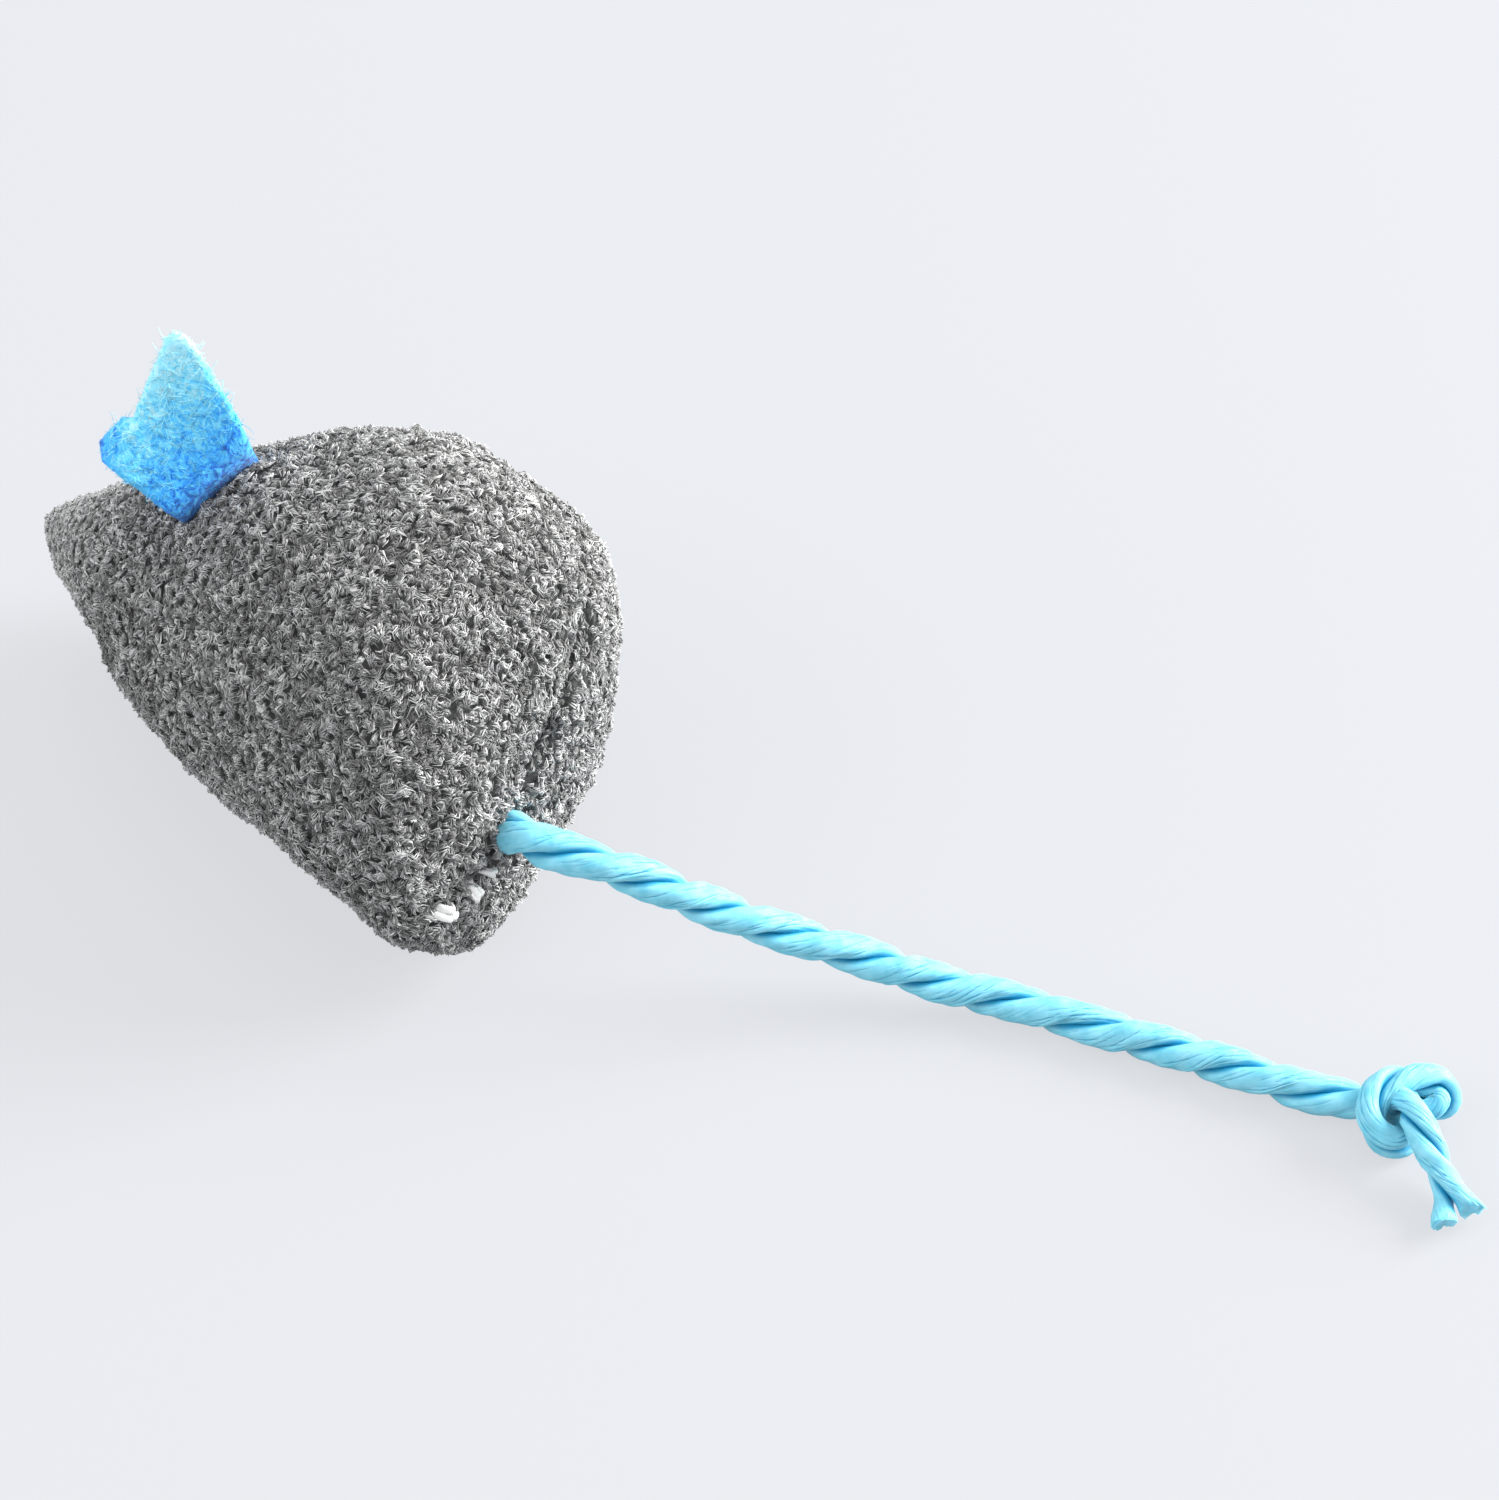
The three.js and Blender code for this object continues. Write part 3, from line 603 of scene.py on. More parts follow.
HAIR_LENGTH = (0.7, 1.7)
EDGE_HAIR_LENGTH = (0.15, 0.4)
HAIR_LIFT = 0.25
HAIR_CURL = 0.35
HAIR_STRAY = 0.6
HAIRS_IN_FRONT = 0.6
HAIR_THICKNESS = np.array([1, 0.9, 0.7, 0.3]) * 0.04

ear_x = Vector(slit).normalized()
ear_y = Vector(EAR_STANDS)
ear_y = (ear_y - ear_x * ear_y.dot(ear_x)).normalized()
ear_z = ear_x.cross(ear_y)
ear_frame = Matrix((ear_x, ear_y, ear_z)).transposed().to_4x4()
ear_frame.translation = Vector(slit_front) + ear_y * EAR_LIFT
mirror = Matrix.Diagonal((1, 1, -1, 1))


# How far a place on the flap is past the line where its front corner starts to curl
def corner(x, y):
    return np.clip((y - CURL_FROM[1]) * CURL_WAY[1] - (x - CURL_FROM[0]) * CURL_WAY[0], 0, None)


# Bow of the flap out of its plane: it turns back at the slit, hollows a little, and its front corner curls away
def ear_bow(x, y, curl):
    turned_back = np.clip(1 - (y - FOOT_LEAN * x) / FOOT_HEIGHT, 0, FOOT_TURN_MOST) ** 2
    hollow = FLAP_HOLLOW * (x - FLAP_MIDDLE) ** 2 * np.clip(y / HOLLOW_RISE, 0, 1)
    return -FOOT_TURN * turned_back + hollow - curl * corner(x, y)


# Scissor-cut outline with slightly ragged steps, and a mesh of felt between
dice = np.random.default_rng(31)
rim = []
for start, end in zip(EAR_OUTLINE, EAR_OUTLINE[1:] + EAR_OUTLINE[:1]):
    count = max(1, round(np.hypot(end[0] - start[0], end[1] - start[1]) / RIM_STEP))
    for k in range(count):
        rim.append(np.array(start) + (np.array(end) - start) * k / count + dice.normal(0, RIM_RAGGED, 2))
rim = np.array(rim)
grid_x, grid_y = np.meshgrid(np.arange(-2.2, 12, FELT_STEPS[0]), np.arange(-7, 13.5, FELT_STEPS[1]))
grid_x = grid_x + FELT_STEPS[0] / 2 * (np.arange(len(grid_x)) % 2)[:, None]
inside = np.stack([grid_x.ravel(), grid_y.ravel()], -1) + dice.normal(0, FELT_SCATTER, (grid_x.size, 2))
inside = inside[np.linalg.norm(inside[:, None] - rim[None], axis=2).min(1) > RIM_CLEAR]
after = np.roll(rim, -1, 0)
spans = (rim[None, :, 1] > inside[:, None, 1]) != (after[None, :, 1] > inside[:, None, 1])
rise_share = (inside[:, None, 1] - rim[None, :, 1]) / np.where(rim[:, 1] == after[:, 1], 1, after[:, 1] - rim[:, 1])
crossed = spans & (inside[:, None, 0] < rim[None, :, 0] + rise_share * (after - rim)[None, :, 0])
inside = inside[crossed.sum(1) % 2 == 1]
loop_edges = [(k, (k + 1) % len(rim)) for k in range(len(rim))]
flat = [Vector(p) for p in np.concatenate([rim, inside])]
felt_points, _, felt_faces, came_from, _, _ = delaunay_2d_cdt(flat, loop_edges, [], 1, 1e-5)
felt_points = np.array(felt_points)
edge = np.array([any(k < len(rim) for k in origin) for origin in came_from])
felt_x, felt_y = felt_points.T
fuzz = drift(np.column_stack([felt_points, felt_x * 0]), FELT_LUMP_LENGTH, seed=32) * FELT_LUMP
half_felt = np.where(edge, EDGE_HALF, 0.5) * FELT_THICKNESS
outward = np.roll(rim, -1, 0) - np.roll(rim, 1, 0)
outward = np.column_stack([outward[:, 1], -outward[:, 0]]) / np.linalg.norm(outward, axis=1)[:, None]
total = len(felt_points)
order = {origin[0]: k for k, origin in enumerate(came_from) if origin and origin[0] < len(rim)}
felt_all = [list(f) for f in felt_faces] + [[total + k for k in reversed(f)] for f in felt_faces]
for k, after in loop_edges:
    felt_all.append([order[k], 2 * total + k, 2 * total + after, order[after]])
    felt_all.append([2 * total + k, total + order[k], total + order[after], 2 * total + after])


# Front face, rear face and rounded cut edge of the flap
def felt_layers(curl):
    bow = ear_bow(felt_x, felt_y, curl)
    front = np.column_stack([felt_x, felt_y, bow + half_felt + fuzz])
    rear = np.column_stack([felt_x, felt_y, bow - half_felt + fuzz])
    return bow, front, rear, np.column_stack([rim + EDGE_ROUND * outward, ear_bow(*rim.T, curl)])


# Loose fibres: most lie on the faces, the rest stand out from the cut edge
def hairs(count, seed, bow, front, rear, cut):
    dice = np.random.default_rng(seed)
    pick = dice.choice(np.flatnonzero(~edge & (felt_y > 1.6)), count)
    root = np.where(dice.random(count)[:, None] < HAIRS_IN_FRONT, front[pick], rear[pick])
    root = root + dice.normal(0, (0.2, 0.2, 0), (count, 3))
    lift = np.where(root[:, 2] > bow[pick], 1, -1)
    aim = dice.uniform(0, 2 * pi, count)
    way = np.column_stack([np.cos(aim), np.sin(aim), lift * dice.uniform(0, HAIR_LIFT, count)])
    length = dice.uniform(*HAIR_LENGTH, count)
    rims = np.flatnonzero(rim[:, 1] > 1.0)
    on_edge = count // 4
    edge_pick = dice.choice(rims, on_edge)
    edge_root = cut[edge_pick] - np.column_stack([outward[edge_pick] * 0.15, dice.uniform(-0.5, 0.5, on_edge)])
    root = np.concatenate([root, edge_root])
    stray = np.column_stack([outward[edge_pick], dice.normal(0, HAIR_STRAY / 2, on_edge)])
    stray = stray + dice.normal(0, HAIR_STRAY, (on_edge, 3))
    way = np.concatenate([way, stray / np.linalg.norm(stray, axis=1)[:, None]])
    length = np.concatenate([length, dice.uniform(*EDGE_HAIR_LENGTH, on_edge)])
    curl = np.cross(way, dice.normal(size=way.shape)) * HAIR_CURL
    t = np.linspace(0, 1, len(HAIR_THICKNESS))[:, None]
    line = root[:, None] + length[:, None, None] * (t * way[:, None] + t**2 * curl[:, None])
    ahead = np.gradient(line, axis=1)
    ahead /= np.linalg.norm(ahead, axis=2)[..., None]
    first = np.cross(ahead, (0.31, 0.52, 0.79))
    first /= np.linalg.norm(first, axis=2)[..., None]
    second = np.cross(ahead, first)
    spread = np.cos(three_ways)[:, None] * first[:, :, None] + np.sin(three_ways)[:, None] * second[:, :, None]
    return (line[:, :, None] + HAIR_THICKNESS[:, None, None] * spread).reshape(-1, 3)


# Needled felt, dyed azure: matted fibres in fine pale and deep flecks, with painted light and shade up the flap,
# painted shade deepest at the slit and on the curled corner and a painted pale glow towards the tip; it is thin
# enough that some of the light behind it glows through
FELT_DYE_AND_LIGHT = ((0.08, "2080ec"), (0.25, "3cb0fe"), (0.5, "5eceff"), (0.75, "8ee8ff"))
felt, tree, shader = stuff("needled_azure_felt", 0.95)
painted_light_up = node(tree, "ShaderNodeAttribute", attribute_name="height")
place = node(tree, "ShaderNodeTexCoord").outputs["Object"]
matting = {"Vector": place, "Scale": 1 / (FLECK * MILLIMETRE), "Detail": 6.0, "Distortion": 1.2}
flecks = node(tree, "ShaderNodeTexNoise", matting)
spread = node(tree, "ShaderNodeMath", {0: flecks.outputs["Fac"], 1: 1.6, 2: -0.8}, operation="MULTIPLY_ADD")
level = node(tree, "ShaderNodeMath", {0: painted_light_up.outputs["Fac"], 1: spread.outputs[0]}, operation="ADD")
dye_and_light = node(tree, "ShaderNodeValToRGB", {"Fac": level.outputs[0]})
dye_and_light.color_ramp.elements[0].color = linear("1e69b4")
dye_and_light.color_ramp.elements[1].color = linear("b8f2ff")
for up, code in FELT_DYE_AND_LIGHT:
    dye_and_light.color_ramp.elements.new(up).color = linear(code)
tree.links.new(dye_and_light.outputs["Color"], shader.inputs["Base Color"])
lift = node(tree, "ShaderNodeBump", {"Strength": 0.7, "Distance": 0.0002, "Height": flecks.outputs["Fac"]})
tree.links.new(lift.outputs["Normal"], shader.inputs["Normal"])
shader.inputs["Sheen Weight"].default_value = 0.25
through = node(tree, "ShaderNodeBsdfTranslucent", {"Color": dye_and_light.outputs["Color"]})
lit = node(tree, "ShaderNodeMixShader", {0: 0.1, 1: shader.outputs[0], 2: through.outputs[0]})
tree.links.new(lit.outputs[0], tree.nodes["Material Output"].inputs["Surface"])

for side, seed, curl in (("left", 33, 0.75), ("right", 34, 0.0)):
    where = STANCE @ (ear_frame if side == "left" else mirror @ ear_frame)
    faces = felt_all if side == "left" else [f[::-1] for f in felt_all]
    layers = felt_layers(curl)
    felt_mesh = np.concatenate(layers[1:])
    ear = piece(f"{side}_felt_ear", pressed(placed(felt_mesh, where)), faces, felt, None)
    level = ear.data.attributes.new("height", "FLOAT", "POINT")
    # Painted light and shade up the flap: shade at the foot, a pale painted glow towards the tip, and painted shade
    # on the curled-over corner
    painted_light_up_flap = (felt_mesh[:, 1] - EAR_FOOT) / (EAR_TOP - EAR_FOOT) - 0.35 * curl * corner(*felt_mesh.T[:2])
    level.data.foreach_set("value", np.clip(painted_light_up_flap, 0.1 * (felt_mesh[:, 1] > 0), 1).astype(np.float32))
    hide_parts(f"{side}_ear", f"{side}_ear_root")
    low, high = placed([[4, -BEND, 0], [4, BEND, 0]], where)
    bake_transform(ear)
    strands = hairs(HAIRS, seed, *layers)
    rings = len(HAIR_THICKNESS)
    faces = (np.arange(len(strands) // (3 * rings))[:, None, None] * 3 * rings + thread_faces(rings)).reshape(-1, 3)
    if side == "right":
        faces = faces[:, ::-1]
    fibres = piece(f"{side}_ear_fuzz", pressed(placed(strands, where)), faces, felt, f"{side}_ear")
    level = fibres.data.attributes.new("height", "FLOAT", "POINT")
    # Loose fibres are painted a little paler than the felt under them, as painted highlights
    painted_light_up_flap = (strands[:, 1] - EAR_FOOT) / (EAR_TOP - EAR_FOOT) + 0.12
    level.data.foreach_set("value", np.clip(painted_light_up_flap, 0, 1).astype(np.float32))

# Paper-cord tail
# Two plies of rolled crepe paper twisted left-handed into one cord, its root caught in the rear seam by the
# stitching. It leaves the seam, sinks under its own weight and lies along the floor to the knot.
CORD_DIAMETER = 3.5
TAIL_DROP = 8.5
ROOT_INSIDE = 8
LAY_LENGTH = 14.2
PLY_SIDES = 72
PLY_OFFSET = 0.24
PLY_SPREAD = 0.22
PLY_HALF = (0.29, 0.39)
PLY_OPENS = (0.08, -0.1)
LAY_WANDER = 0.25
LAY_WANDER_LENGTH = 23
CREASES = 24
CREASE_WIDTH = 0.055
CREASE_DEPTH = 0.13
CREASE_REACH = 2.1
CREASE_SWAY = 0.4
CREASE_SWAY_LENGTH = (9, 20)
CREASE_RUN = (5, 11)
TORN = 0.14
PLY_STAGGER = 0.9
VALLEY_FROM = 0.35
VALLEY_SHARP = 1.8
FRAY_SHADE_FADE = 0.7
WRINKLE = 1.5
TAIL_SWING = np.array([26.398, -5.276, 16.486])
RESTING = CORD_DIAMETER / 2 + 0.1
# Steps along and across the floor from where the tail swings, and the share of that place's height left
TAIL_ROUTE = np.array(
    [
        [0, 0, 1],
        [2.6, 0.9, 0.985],
        [5.6, 2.4, 0.93],
        [9.2, 4.3, 0.83],
        [12.8, 6.4, 0.69],
        [16.7, 8.9, 0.53],
        [20.4, 11.5, 0.385],
        [24.1, 14.0, 0.26],
        [28.1, 16.2, 0.155],
        [32.3, 18.1, 0.08],
        [36.4, 20.2, 0.03],
        [40.8, 21.9, 0.006],
        [45.3, 23.3, 0],
        [52.3, 25.5, 0],
        [57.9, 27.1, 0],
        [61.7, 28.1, 0.006],
        [64.8, 28.9, 0.012],
    ]
)


# Smooth line through points, with places about a step apart
def threaded(points, step):
    points = np.asarray(points, float)
    points = np.concatenate([[2 * points[0] - points[1]], points, [2 * points[-1] - points[-2]]])
    knots = np.concatenate([[0], np.cumsum(np.linalg.norm(np.diff(points, axis=0), axis=1) ** 0.5)])
    line = []
    for k in range(1, len(points) - 2):
        count = max(2, int(np.linalg.norm(points[k + 1] - points[k]) / step) + 1)
        t = np.linspace(knots[k], knots[k + 1], count, endpoint=False)[:, None]
        level = [points[k - 1 + i] for i in range(4)]
        for order in (1, 2, 3):
            level = [
                ((knots[k - 1 + i + order] - t) * level[i] + (t - knots[k - 1 + i]) * level[i + 1])
                / (knots[k - 1 + i + order] - knots[k - 1 + i])
                for i in range(4 - order)
            ]
        line.append(level[0])
    return np.concatenate(line + [points[-2:-1]])


# Rings of two crumpled plies wound round a line: each is a rolled strip pleated along its length
def plies(line, across, phase, seed, grow=1.0, frayed=0.0, lay=LAY_LENGTH, sides=PLY_SIDES):
    dice = np.random.default_rng(seed)
    count = len(line)
    grow = np.broadcast_to(grow, count)
    frayed = np.broadcast_to(frayed, count)
    ahead = np.gradient(line, axis=0)
    ahead /= np.linalg.norm(ahead, axis=1)[:, None]
    u = np.empty_like(line)
    u[0] = np.cross(ahead[0], (0, 0, 1))
    for k in range(count):
        u[k] = u[max(k - 1, 0)] - ahead[k] * (u[max(k - 1, 0)] @ ahead[k])
        u[k] /= np.linalg.norm(u[k])
    v = np.cross(ahead, u)
    far = np.concatenate([[0], np.cumsum(np.linalg.norm(np.diff(line, axis=0), axis=1))])
    ring = np.linspace(0, 2 * pi, sides, endpoint=False)
    wound, fold_shade = [], []
    for ply in (0, 1):
        spin = -2 * pi * far / lay + phase + ply * pi + LAY_WANDER * np.sin(2 * pi * far / LAY_WANDER_LENGTH + seed)
        radial = np.cos(spin)[:, None] * u + np.sin(spin)[:, None] * v
        side = np.cross(ahead, radial)
        hub = line + radial * ((PLY_OFFSET + PLY_SPREAD * frayed) * across * grow)[:, None]
        fold = np.zeros((count, sides))
        for _ in range(CREASES):
            place = dice.uniform(-CREASE_REACH, CREASE_REACH)
            sway = np.sin(2 * pi * far / dice.uniform(*CREASE_SWAY_LENGTH) + dice.uniform(0, 6))
            place = place + CREASE_SWAY * sway
            gate = np.clip(np.sin(2 * pi * far / dice.uniform(*CREASE_RUN) + dice.uniform(0, 6)) * 1.8 - 0.2, 0, 1)
            apart = (ring - place[:, None] + pi) % (2 * pi) - pi
            fold = np.maximum(fold, gate[:, None] * furrow(apart, CREASE_WIDTH) * dice.uniform(0.5, 1))
        swellings = 0.045 * np.sin(3 * ring + far[:, None] * 0.9 + ply) + 0.04 * np.sin(2 * ring - far[:, None] * 1.7)
        reach = across * grow[:, None] * (1 + swellings - CREASE_DEPTH * fold)
        opened = [(half + opens * frayed)[:, None] for half, opens in zip(PLY_HALF, PLY_OPENS)]
        rings = hub[:, None] + (reach * opened[0] * np.cos(ring))[..., None] * radial[:, None]
        rings = rings + (reach * opened[1] * np.sin(ring))[..., None] * side[:, None]
        torn = np.sin(2 * ring + ply) + np.sin(5 * ring + 2 * ply) + dice.normal(0, 0.5, sides)
        longer = frayed[:, None] ** 3 * (TORN * torn + PLY_STAGGER * (ply - 0.5))
        wound.append(rings + longer[..., None] * ahead[:, None])
        # Painted shade: darkest in the creases and down the groove where the two plies meet, fading at the frayed end
        groove_shade = np.clip(-VALLEY_FROM - VALLEY_SHARP * np.cos(ring), 0, 1)
        fold_shade.append(np.maximum(fold, groove_shade) * (1 - FRAY_SHADE_FADE * frayed[:, None]))
    return np.array(wound), np.array(fold_shade)


# Length of wound plies as one piece, kept off the floor, with its folds and the groove between its plies marked for
# painted shade
def wound_piece(name, wound, fold_shade, material, body, slot):
    points, faces = [], []
    for rings in wound:
        ply_points, ply_faces = lofted(rings)
        faces += [[index + len(points) for index in face] for face in ply_faces]
        points += list(ply_points)
    made = piece(name, pressed(np.array(points) * MILLIMETRE), faces, material, body)
    depth = made.data.attributes.new("fold", "FLOAT", "POINT")
    depth.data.foreach_set("value", fold_shade.ravel().astype(np.float32))
    return made


# Crepe paper, dyed pale blue: a dry satin face with fine wrinkles, and painted shade in the folds and down the groove
# between the plies
paper, tree, shader = stuff("dyed_crepe_paper", 0.6)
shader.inputs["Subsurface Weight"].default_value = 0.35
shader.inputs["Subsurface Radius"].default_value = (0.4, 1.0, 1.2)
shader.inputs["Subsurface Scale"].default_value = 0.0008
depth = node(tree, "ShaderNodeAttribute", attribute_name="fold")
place = node(tree, "ShaderNodeTexCoord").outputs["Object"]
fine = node(tree, "ShaderNodeTexNoise", {"Vector": place, "Scale": 1 / (WRINKLE * MILLIMETRE), "Detail": 5.0})
face = node(tree, "ShaderNodeValToRGB", {"Fac": fine.outputs["Fac"]})
face.color_ramp.elements[0].color = linear("68bed4")
face.color_ramp.elements[0].position = 0.3
face.color_ramp.elements[1].color = linear("8cd2e4")
face.color_ramp.elements[1].position = 0.7
# Painted shade: the marked folds are mixed towards a deep blue
line_shade = node(tree, "ShaderNodeMapRange", {"Value": depth.outputs["Fac"], "From Min": 0.3, "From Max": 0.85})
fold_shading = {"Factor": line_shade.outputs["Result"], "A": face.outputs["Color"], "B": linear("1c94bc")}
dyed_and_shaded = node(tree, "ShaderNodeMix", fold_shading, data_type="RGBA")
tree.links.new(dyed_and_shaded.outputs["Result"], shader.inputs["Base Color"])
lift = node(tree, "ShaderNodeBump", {"Strength": 0.35, "Distance": 0.0002, "Height": fine.outputs["Fac"]})
tree.links.new(lift.outputs["Normal"], shader.inputs["Normal"])

root_stops = (LENGTH - ROOT_INSIDE, LENGTH - ROOT_INSIDE / 2, LENGTH + 0.4)
root = placed([[stop, -TAIL_DROP, 0] for stop in root_stops]) * 1000
route = TAIL_ROUTE.copy()
route[:, 2] = RESTING + TAIL_ROUTE[:, 2] * (TAIL_SWING[2] - RESTING)
route[:, :2] += TAIL_SWING[:2]

# The same cord runs on through one overhand knot, pulled tight, to a short loose end
KNOT_ROUTE = np.array(
    [
        [92.7, 24.4, 2.0],
        [94.9, 25.4, 1.9],
        [96.8, 26.7, 1.8],
        [98.6, 28.1, 1.8],
        [100.4, 28.6, 2.2],
        [100.8, 29.6, 2.8],
        [99.7, 30.1, 3.4],
        [98.3, 29.3, 3.9],
        [97.0, 27.9, 4.2],
        [96.3, 26.0, 4.3],
        [96.5, 24.2, 3.9],
        [97.4, 23.2, 3.2],
        [98.8, 23.1, 2.2],
        [99.8, 24.2, 1.6],
        [99.6, 25.8, 1.5],
        [98.4, 26.9, 1.9],
        [97.9, 27.0, 2.8],
        [98.5, 26.4, 3.8],
        [100.0, 25.3, 4.5],
        [101.6, 24.3, 4.2],
        [103.0, 23.6, 3.3],
        [104.7, 22.7, 2.5],
        [106.3, 21.7, 1.9],
        [107.9, 20.3, 1.7],
    ]
)
KNOT_STARTS = KNOT_ROUTE[2]
KNOT_ENDS = KNOT_ROUTE[16]
SPRUNG = 1.0
CRUSHED = 0.84
SLACKER = 0.07
FLARE = 0.16
FLARE_AT = 9.5
FLARE_LENGTH = 3.0
PINCH = 0.2
PINCH_UP_TO = 8.2
PINCH_FADE = 1.2
FRAYED = 4
FRAY_SWELL = 0.15
CRUSH_EARLY = 3
CRUSH_FADE = 5
SLACK_LATE = 5
SLACK_FADE = 4
CORD_STEP = 0.35

# The cord is pinched in the seam, flares as it leaves it, is crushed in the knot and opens at its cut end
cord_line = threaded(np.concatenate([root, route, KNOT_ROUTE]), CORD_STEP)
far = np.concatenate([[0], np.cumsum(np.linalg.norm(np.diff(cord_line, axis=0), axis=1))])
under_wrap = np.linalg.norm(cord_line - KNOT_STARTS, axis=1).argmin()
past_wrap = np.linalg.norm(cord_line - KNOT_ENDS, axis=1).argmin()
grow = SPRUNG + FLARE * furrow(far - FLARE_AT, FLARE_LENGTH) - PINCH * np.clip((PINCH_UP_TO - far) / PINCH_FADE, 0, 1)
grow -= (SPRUNG - CRUSHED) * np.clip((far - far[under_wrap] + CRUSH_EARLY) / CRUSH_FADE, 0, 1)
frayed = np.clip((far - far[-1] + FRAYED) / FRAYED, 0, 1) ** 2
slack = SLACKER * np.clip((far[past_wrap] + SLACK_LATE - far) / SLACK_FADE, 0, 1)
grow = grow * (1 - SLACKER + slack + FRAY_SWELL * frayed)
wound, fold_shade = plies(cord_line, CORD_DIAMETER, phase=0.6, seed=21, grow=grow, frayed=frayed)

in_tail = slice(0, under_wrap + 1)
tail = wound_piece("twisted_paper_tail", wound[:, in_tail], fold_shade[:, in_tail], paper, None, "paper_cord")
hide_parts("tail_cord", "tail_root")
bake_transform(tail)

# Tail knot and loose end
# The overhand knot crushes the plies flat where they cross, and its first turn hides where it takes over the cord.
# Past it a short loose end sticks out, its two plies untwisting and fraying where it was cut.
in_knot = slice(under_wrap, past_wrap + 1)
knot = wound_piece("overhand_paper_knot", wound[:, in_knot], fold_shade[:, in_knot], paper, "tail", "paper_cord")
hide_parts("tail_knot")
loose_end = wound_piece("frayed_paper_end", wound[:, past_wrap:], fold_shade[:, past_wrap:], paper, "tail", "paper_cord")
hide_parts("tail_end")

# Machine seam and closing stitches
# A machine stitch joins the two panels inside the turned-in edges, from above the tail over the back and round the
# nose to the belly corner. The stuffing gap below the tail is closed by hand with flat white thread.
SEAM_INSET = 3.1
SEAM_THREAD = 0.35
SEAM_THREAD_LAY = 2.0
ABOVE_TAIL = 0.3
SPUN = 0.5
# Hand stitches: height on the seam, reach to the right and left flank, slant and width
STITCHES = (
    (-17.2, -1.4, 4.6, -0.8, 1.1),
    (-14.8, 1.2, 1.8, 1.6, 0.9),
    (-12.5, 0.9, 0.9, -0.5, 0.6),
)
STITCH_STRANDS = (-0.34, 0.0, 0.34)
STITCH_THICKNESS = 0.4
STRAND_WIDTH = 0.7
STITCH_LEAN = 0.5
STITCH_SLIDE = 0.12
STITCH_REACH = (0.6, 1.1)
# Shares of a stitch's reach, and how proud of the cloth the thread lies there
STITCH_STOPS = ((0.0, -1.6), (0.22, -0.5), (0.5, 0.3), (0.78, -0.5), (1.0, -1.6))

# Spun polyester thread, bleached white: soft twisted filaments with a slight sheen
thread, tree, shader = stuff("white_spun_thread", 0.7)
place = node(tree, "ShaderNodeTexCoord").outputs["Object"]
twist = node(tree, "ShaderNodeTexNoise", {"Vector": place, "Scale": 1 / (SPUN * MILLIMETRE), "Detail": 3.0})
shades = node(tree, "ShaderNodeValToRGB", {"Fac": twist.outputs["Fac"]})
shades.color_ramp.elements[0].color = linear("dcdcd8")
shades.color_ramp.elements[1].color = linear("fbfbf8")
tree.links.new(shades.outputs["Color"], shader.inputs["Base Color"])
lift = node(tree, "ShaderNodeBump", {"Strength": 0.5, "Distance": 0.0001, "Height": twist.outputs["Fac"]})
tree.links.new(lift.outputs["Normal"], shader.inputs["Normal"])

up = np.arange(ABOVE_TAIL + CORD_DIAMETER - TAIL_DROP, 4, 3)
rear_seam = np.column_stack([np.full(len(up), LENGTH - REAR_SHORT * SEAM_INSET), up, up * 0])
from_rear, from_nose = np.arange(0.97, 0.03, -0.03), np.arange(0.04, 0.96, 0.03)
over_back = skin(from_rear, 0.0, SEAM_INSET - lumps(skin(from_rear, 0.0)))
under_belly = skin(from_nose, pi, SEAM_INSET - lumps(skin(from_nose, pi)))
seam_path = np.concatenate([rear_seam, over_back, under_belly]) * (1, 1, 0)
seam_line = placed(threaded(seam_path, 0.5)) * 1000
seam_plies = plies(seam_line, SEAM_THREAD, phase=0, seed=41, lay=SEAM_THREAD_LAY, sides=6)
seam_thread = wound_piece("machine_seam_thread", *seam_plies, thread, "body", "thread")
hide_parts("seam_thread")


# How far back the rear of the cover stands at a height and a distance out of the seam plane
def rear_skin(height, out):
    near, far = 0.9, 1.0
    while far - near > 1e-6:
        share = (near + far) / 2
        back, belly, flank = (float(swell(np.array(share * LENGTH), *side)) for side in (BACK, BELLY, FLANK))
        offset = (height - (back - belly) / 2) / ((back + belly) / 2)
        near, far = (share, far) if offset**2 + (out / flank) ** 2 < 1 else (near, share)
    return near * LENGTH


# Flat strand of thread over the cloth, diving in at both ends
def strand_over(stops, wide, thin):
    line = threaded(stops, 0.12)
    ahead = np.gradient(line, axis=0)
    ahead /= np.linalg.norm(ahead, axis=1)[:, None]
    out = np.array([1.0, 0, 0]) - ahead * ahead[:, :1]
    out /= np.linalg.norm(out, axis=1)[:, None]
    side = np.cross(ahead, out)
    ring = np.linspace(0, 2 * pi, 12, endpoint=False)
    rough = 1 + 0.12 * np.sin(5 * ring + 3 * np.arange(len(line))[:, None])
    rings = line[:, None] + (thin / 2 * np.cos(ring) * rough)[..., None] * out[:, None]
    return rings + (wide / 2 * np.sin(ring) * rough)[..., None] * side[:, None]


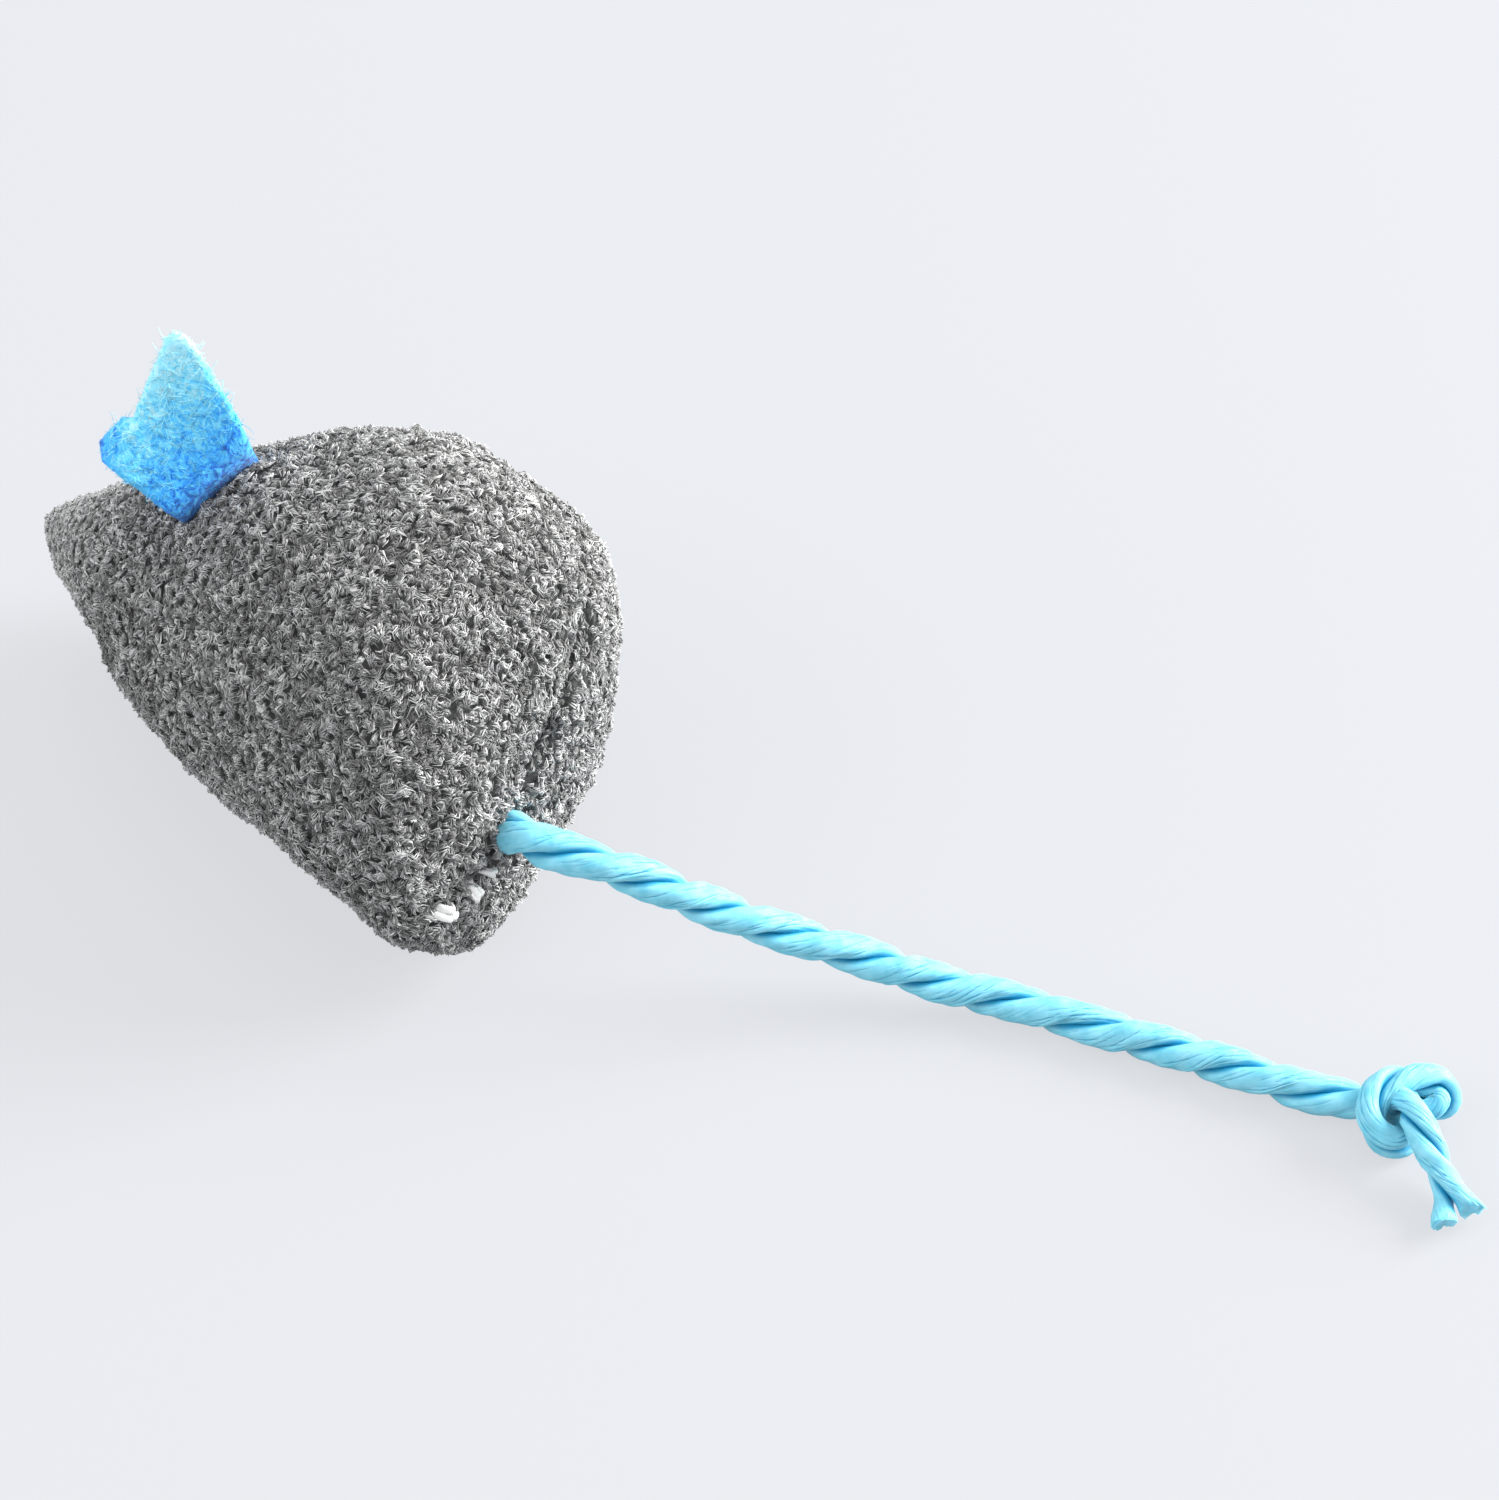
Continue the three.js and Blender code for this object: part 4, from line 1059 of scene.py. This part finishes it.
dice = np.random.default_rng(42)
for number, (height, right, left, slant, wide) in enumerate(STITCHES, 1):
    points, faces = [], []
    for shift in STITCH_STRANDS:
        stops = []
        lean, slide = dice.normal(0, STITCH_LEAN), dice.normal(0, STITCH_SLIDE)
        reach = dice.uniform(*STITCH_REACH)
        for share, proud in STITCH_STOPS:
            out = (left - right) / 2 + (reach * (share - 0.5) + slide) * (left + right)
            rise = height + (slant + lean) * (share - 0.5) + shift * wide
            stops.append([rear_skin(rise, out) + proud, rise, out])
        strand_points, strand_faces = lofted(strand_over(np.array(stops), STRAND_WIDTH * wide, STITCH_THICKNESS))
        faces += [[index + len(points) for index in face] for face in strand_faces]
        points += list(strand_points)
    made = piece(f"white_hand_stitch_{number}", placed(points), faces, thread, "body")
    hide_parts(f"closing_stitch_{number}")

# Floor, light and camera
# A plain pale table under soft daylight from above and behind on the right, seen from the tail's side.
# The table shows the camera a pale glow, so that it looks bright without throwing more light on the toy.
TABLE_GLOW = 0.74
DAYLIGHT = 0.74
LAMPS = (
    ("window", (0.66, 0.94, 0.52), 0.7, 40.0),
    ("ceiling", (0.1, 0.3, 1.2), 0.9, 3.0),
    ("room", (-0.55, -0.7, 0.7), 0.9, 7.5),
)

table_mesh = bpy.data.meshes.new("pale_table")
table_mesh.from_pydata([(-3, -3, 0), (3, -3, 0), (3, 3, 0), (-3, 3, 0)], [], [(0, 1, 2, 3)])
table = bpy.data.objects.new("pale_table", table_mesh)
bpy.context.collection.objects.link(table)
top, tree, shader = stuff("pale_matte_table", 0.6, "a4a6aa")
table_mesh.materials.append(top)
glow = node(tree, "ShaderNodeEmission", {"Color": linear("eceef2"), "Strength": 1.0})
rays = node(tree, "ShaderNodeLightPath").outputs
seen = node(tree, "ShaderNodeMath", {0: rays["Is Camera Ray"], 1: rays["Is Glossy Ray"]}, operation="ADD")
seen = {0: seen.outputs[0], 1: rays["Is Transmission Ray"]}
seen = node(tree, "ShaderNodeMath", seen, operation="ADD", use_clamp=True)
seen = node(tree, "ShaderNodeMath", {0: seen.outputs[0], 1: TABLE_GLOW}, operation="MULTIPLY")
pale = node(tree, "ShaderNodeMixShader", {0: seen.outputs[0], 1: shader.outputs[0], 2: glow.outputs[0]})
tree.links.new(pale.outputs[0], tree.nodes["Material Output"].inputs["Surface"])

sky = bpy.data.worlds.new("soft_daylight")
bpy.context.scene.world = sky
sky.use_nodes = True
sky.node_tree.nodes["Background"].inputs["Color"].default_value = linear("f4f6fa")
sky.node_tree.nodes["Background"].inputs["Strength"].default_value = DAYLIGHT

for name, stand, size, power in LAMPS:
    lamp = bpy.data.lights.new(name, "AREA")
    lamp.size = size
    lamp.energy = power
    holder = bpy.data.objects.new(name, lamp)
    holder.location = stand
    holder.rotation_euler = (-Vector(stand)).to_track_quat("-Z", "Y").to_euler()
    bpy.context.collection.objects.link(holder)

lens = bpy.data.cameras.new("camera")
lens.lens = 90
lens.sensor_width = 36
lens.sensor_fit = "HORIZONTAL"
camera = bpy.data.objects.new("camera", lens)
camera.location = (0.17059, -0.16061, 0.27180)
aim = Vector((0.03059, 0.02043, 0.00853)) - camera.location
camera.rotation_euler = aim.to_track_quat("-Z", "Y").to_euler()
bpy.context.collection.objects.link(camera)
bpy.context.scene.camera = camera
bpy.context.scene.view_settings.view_transform = "Standard"
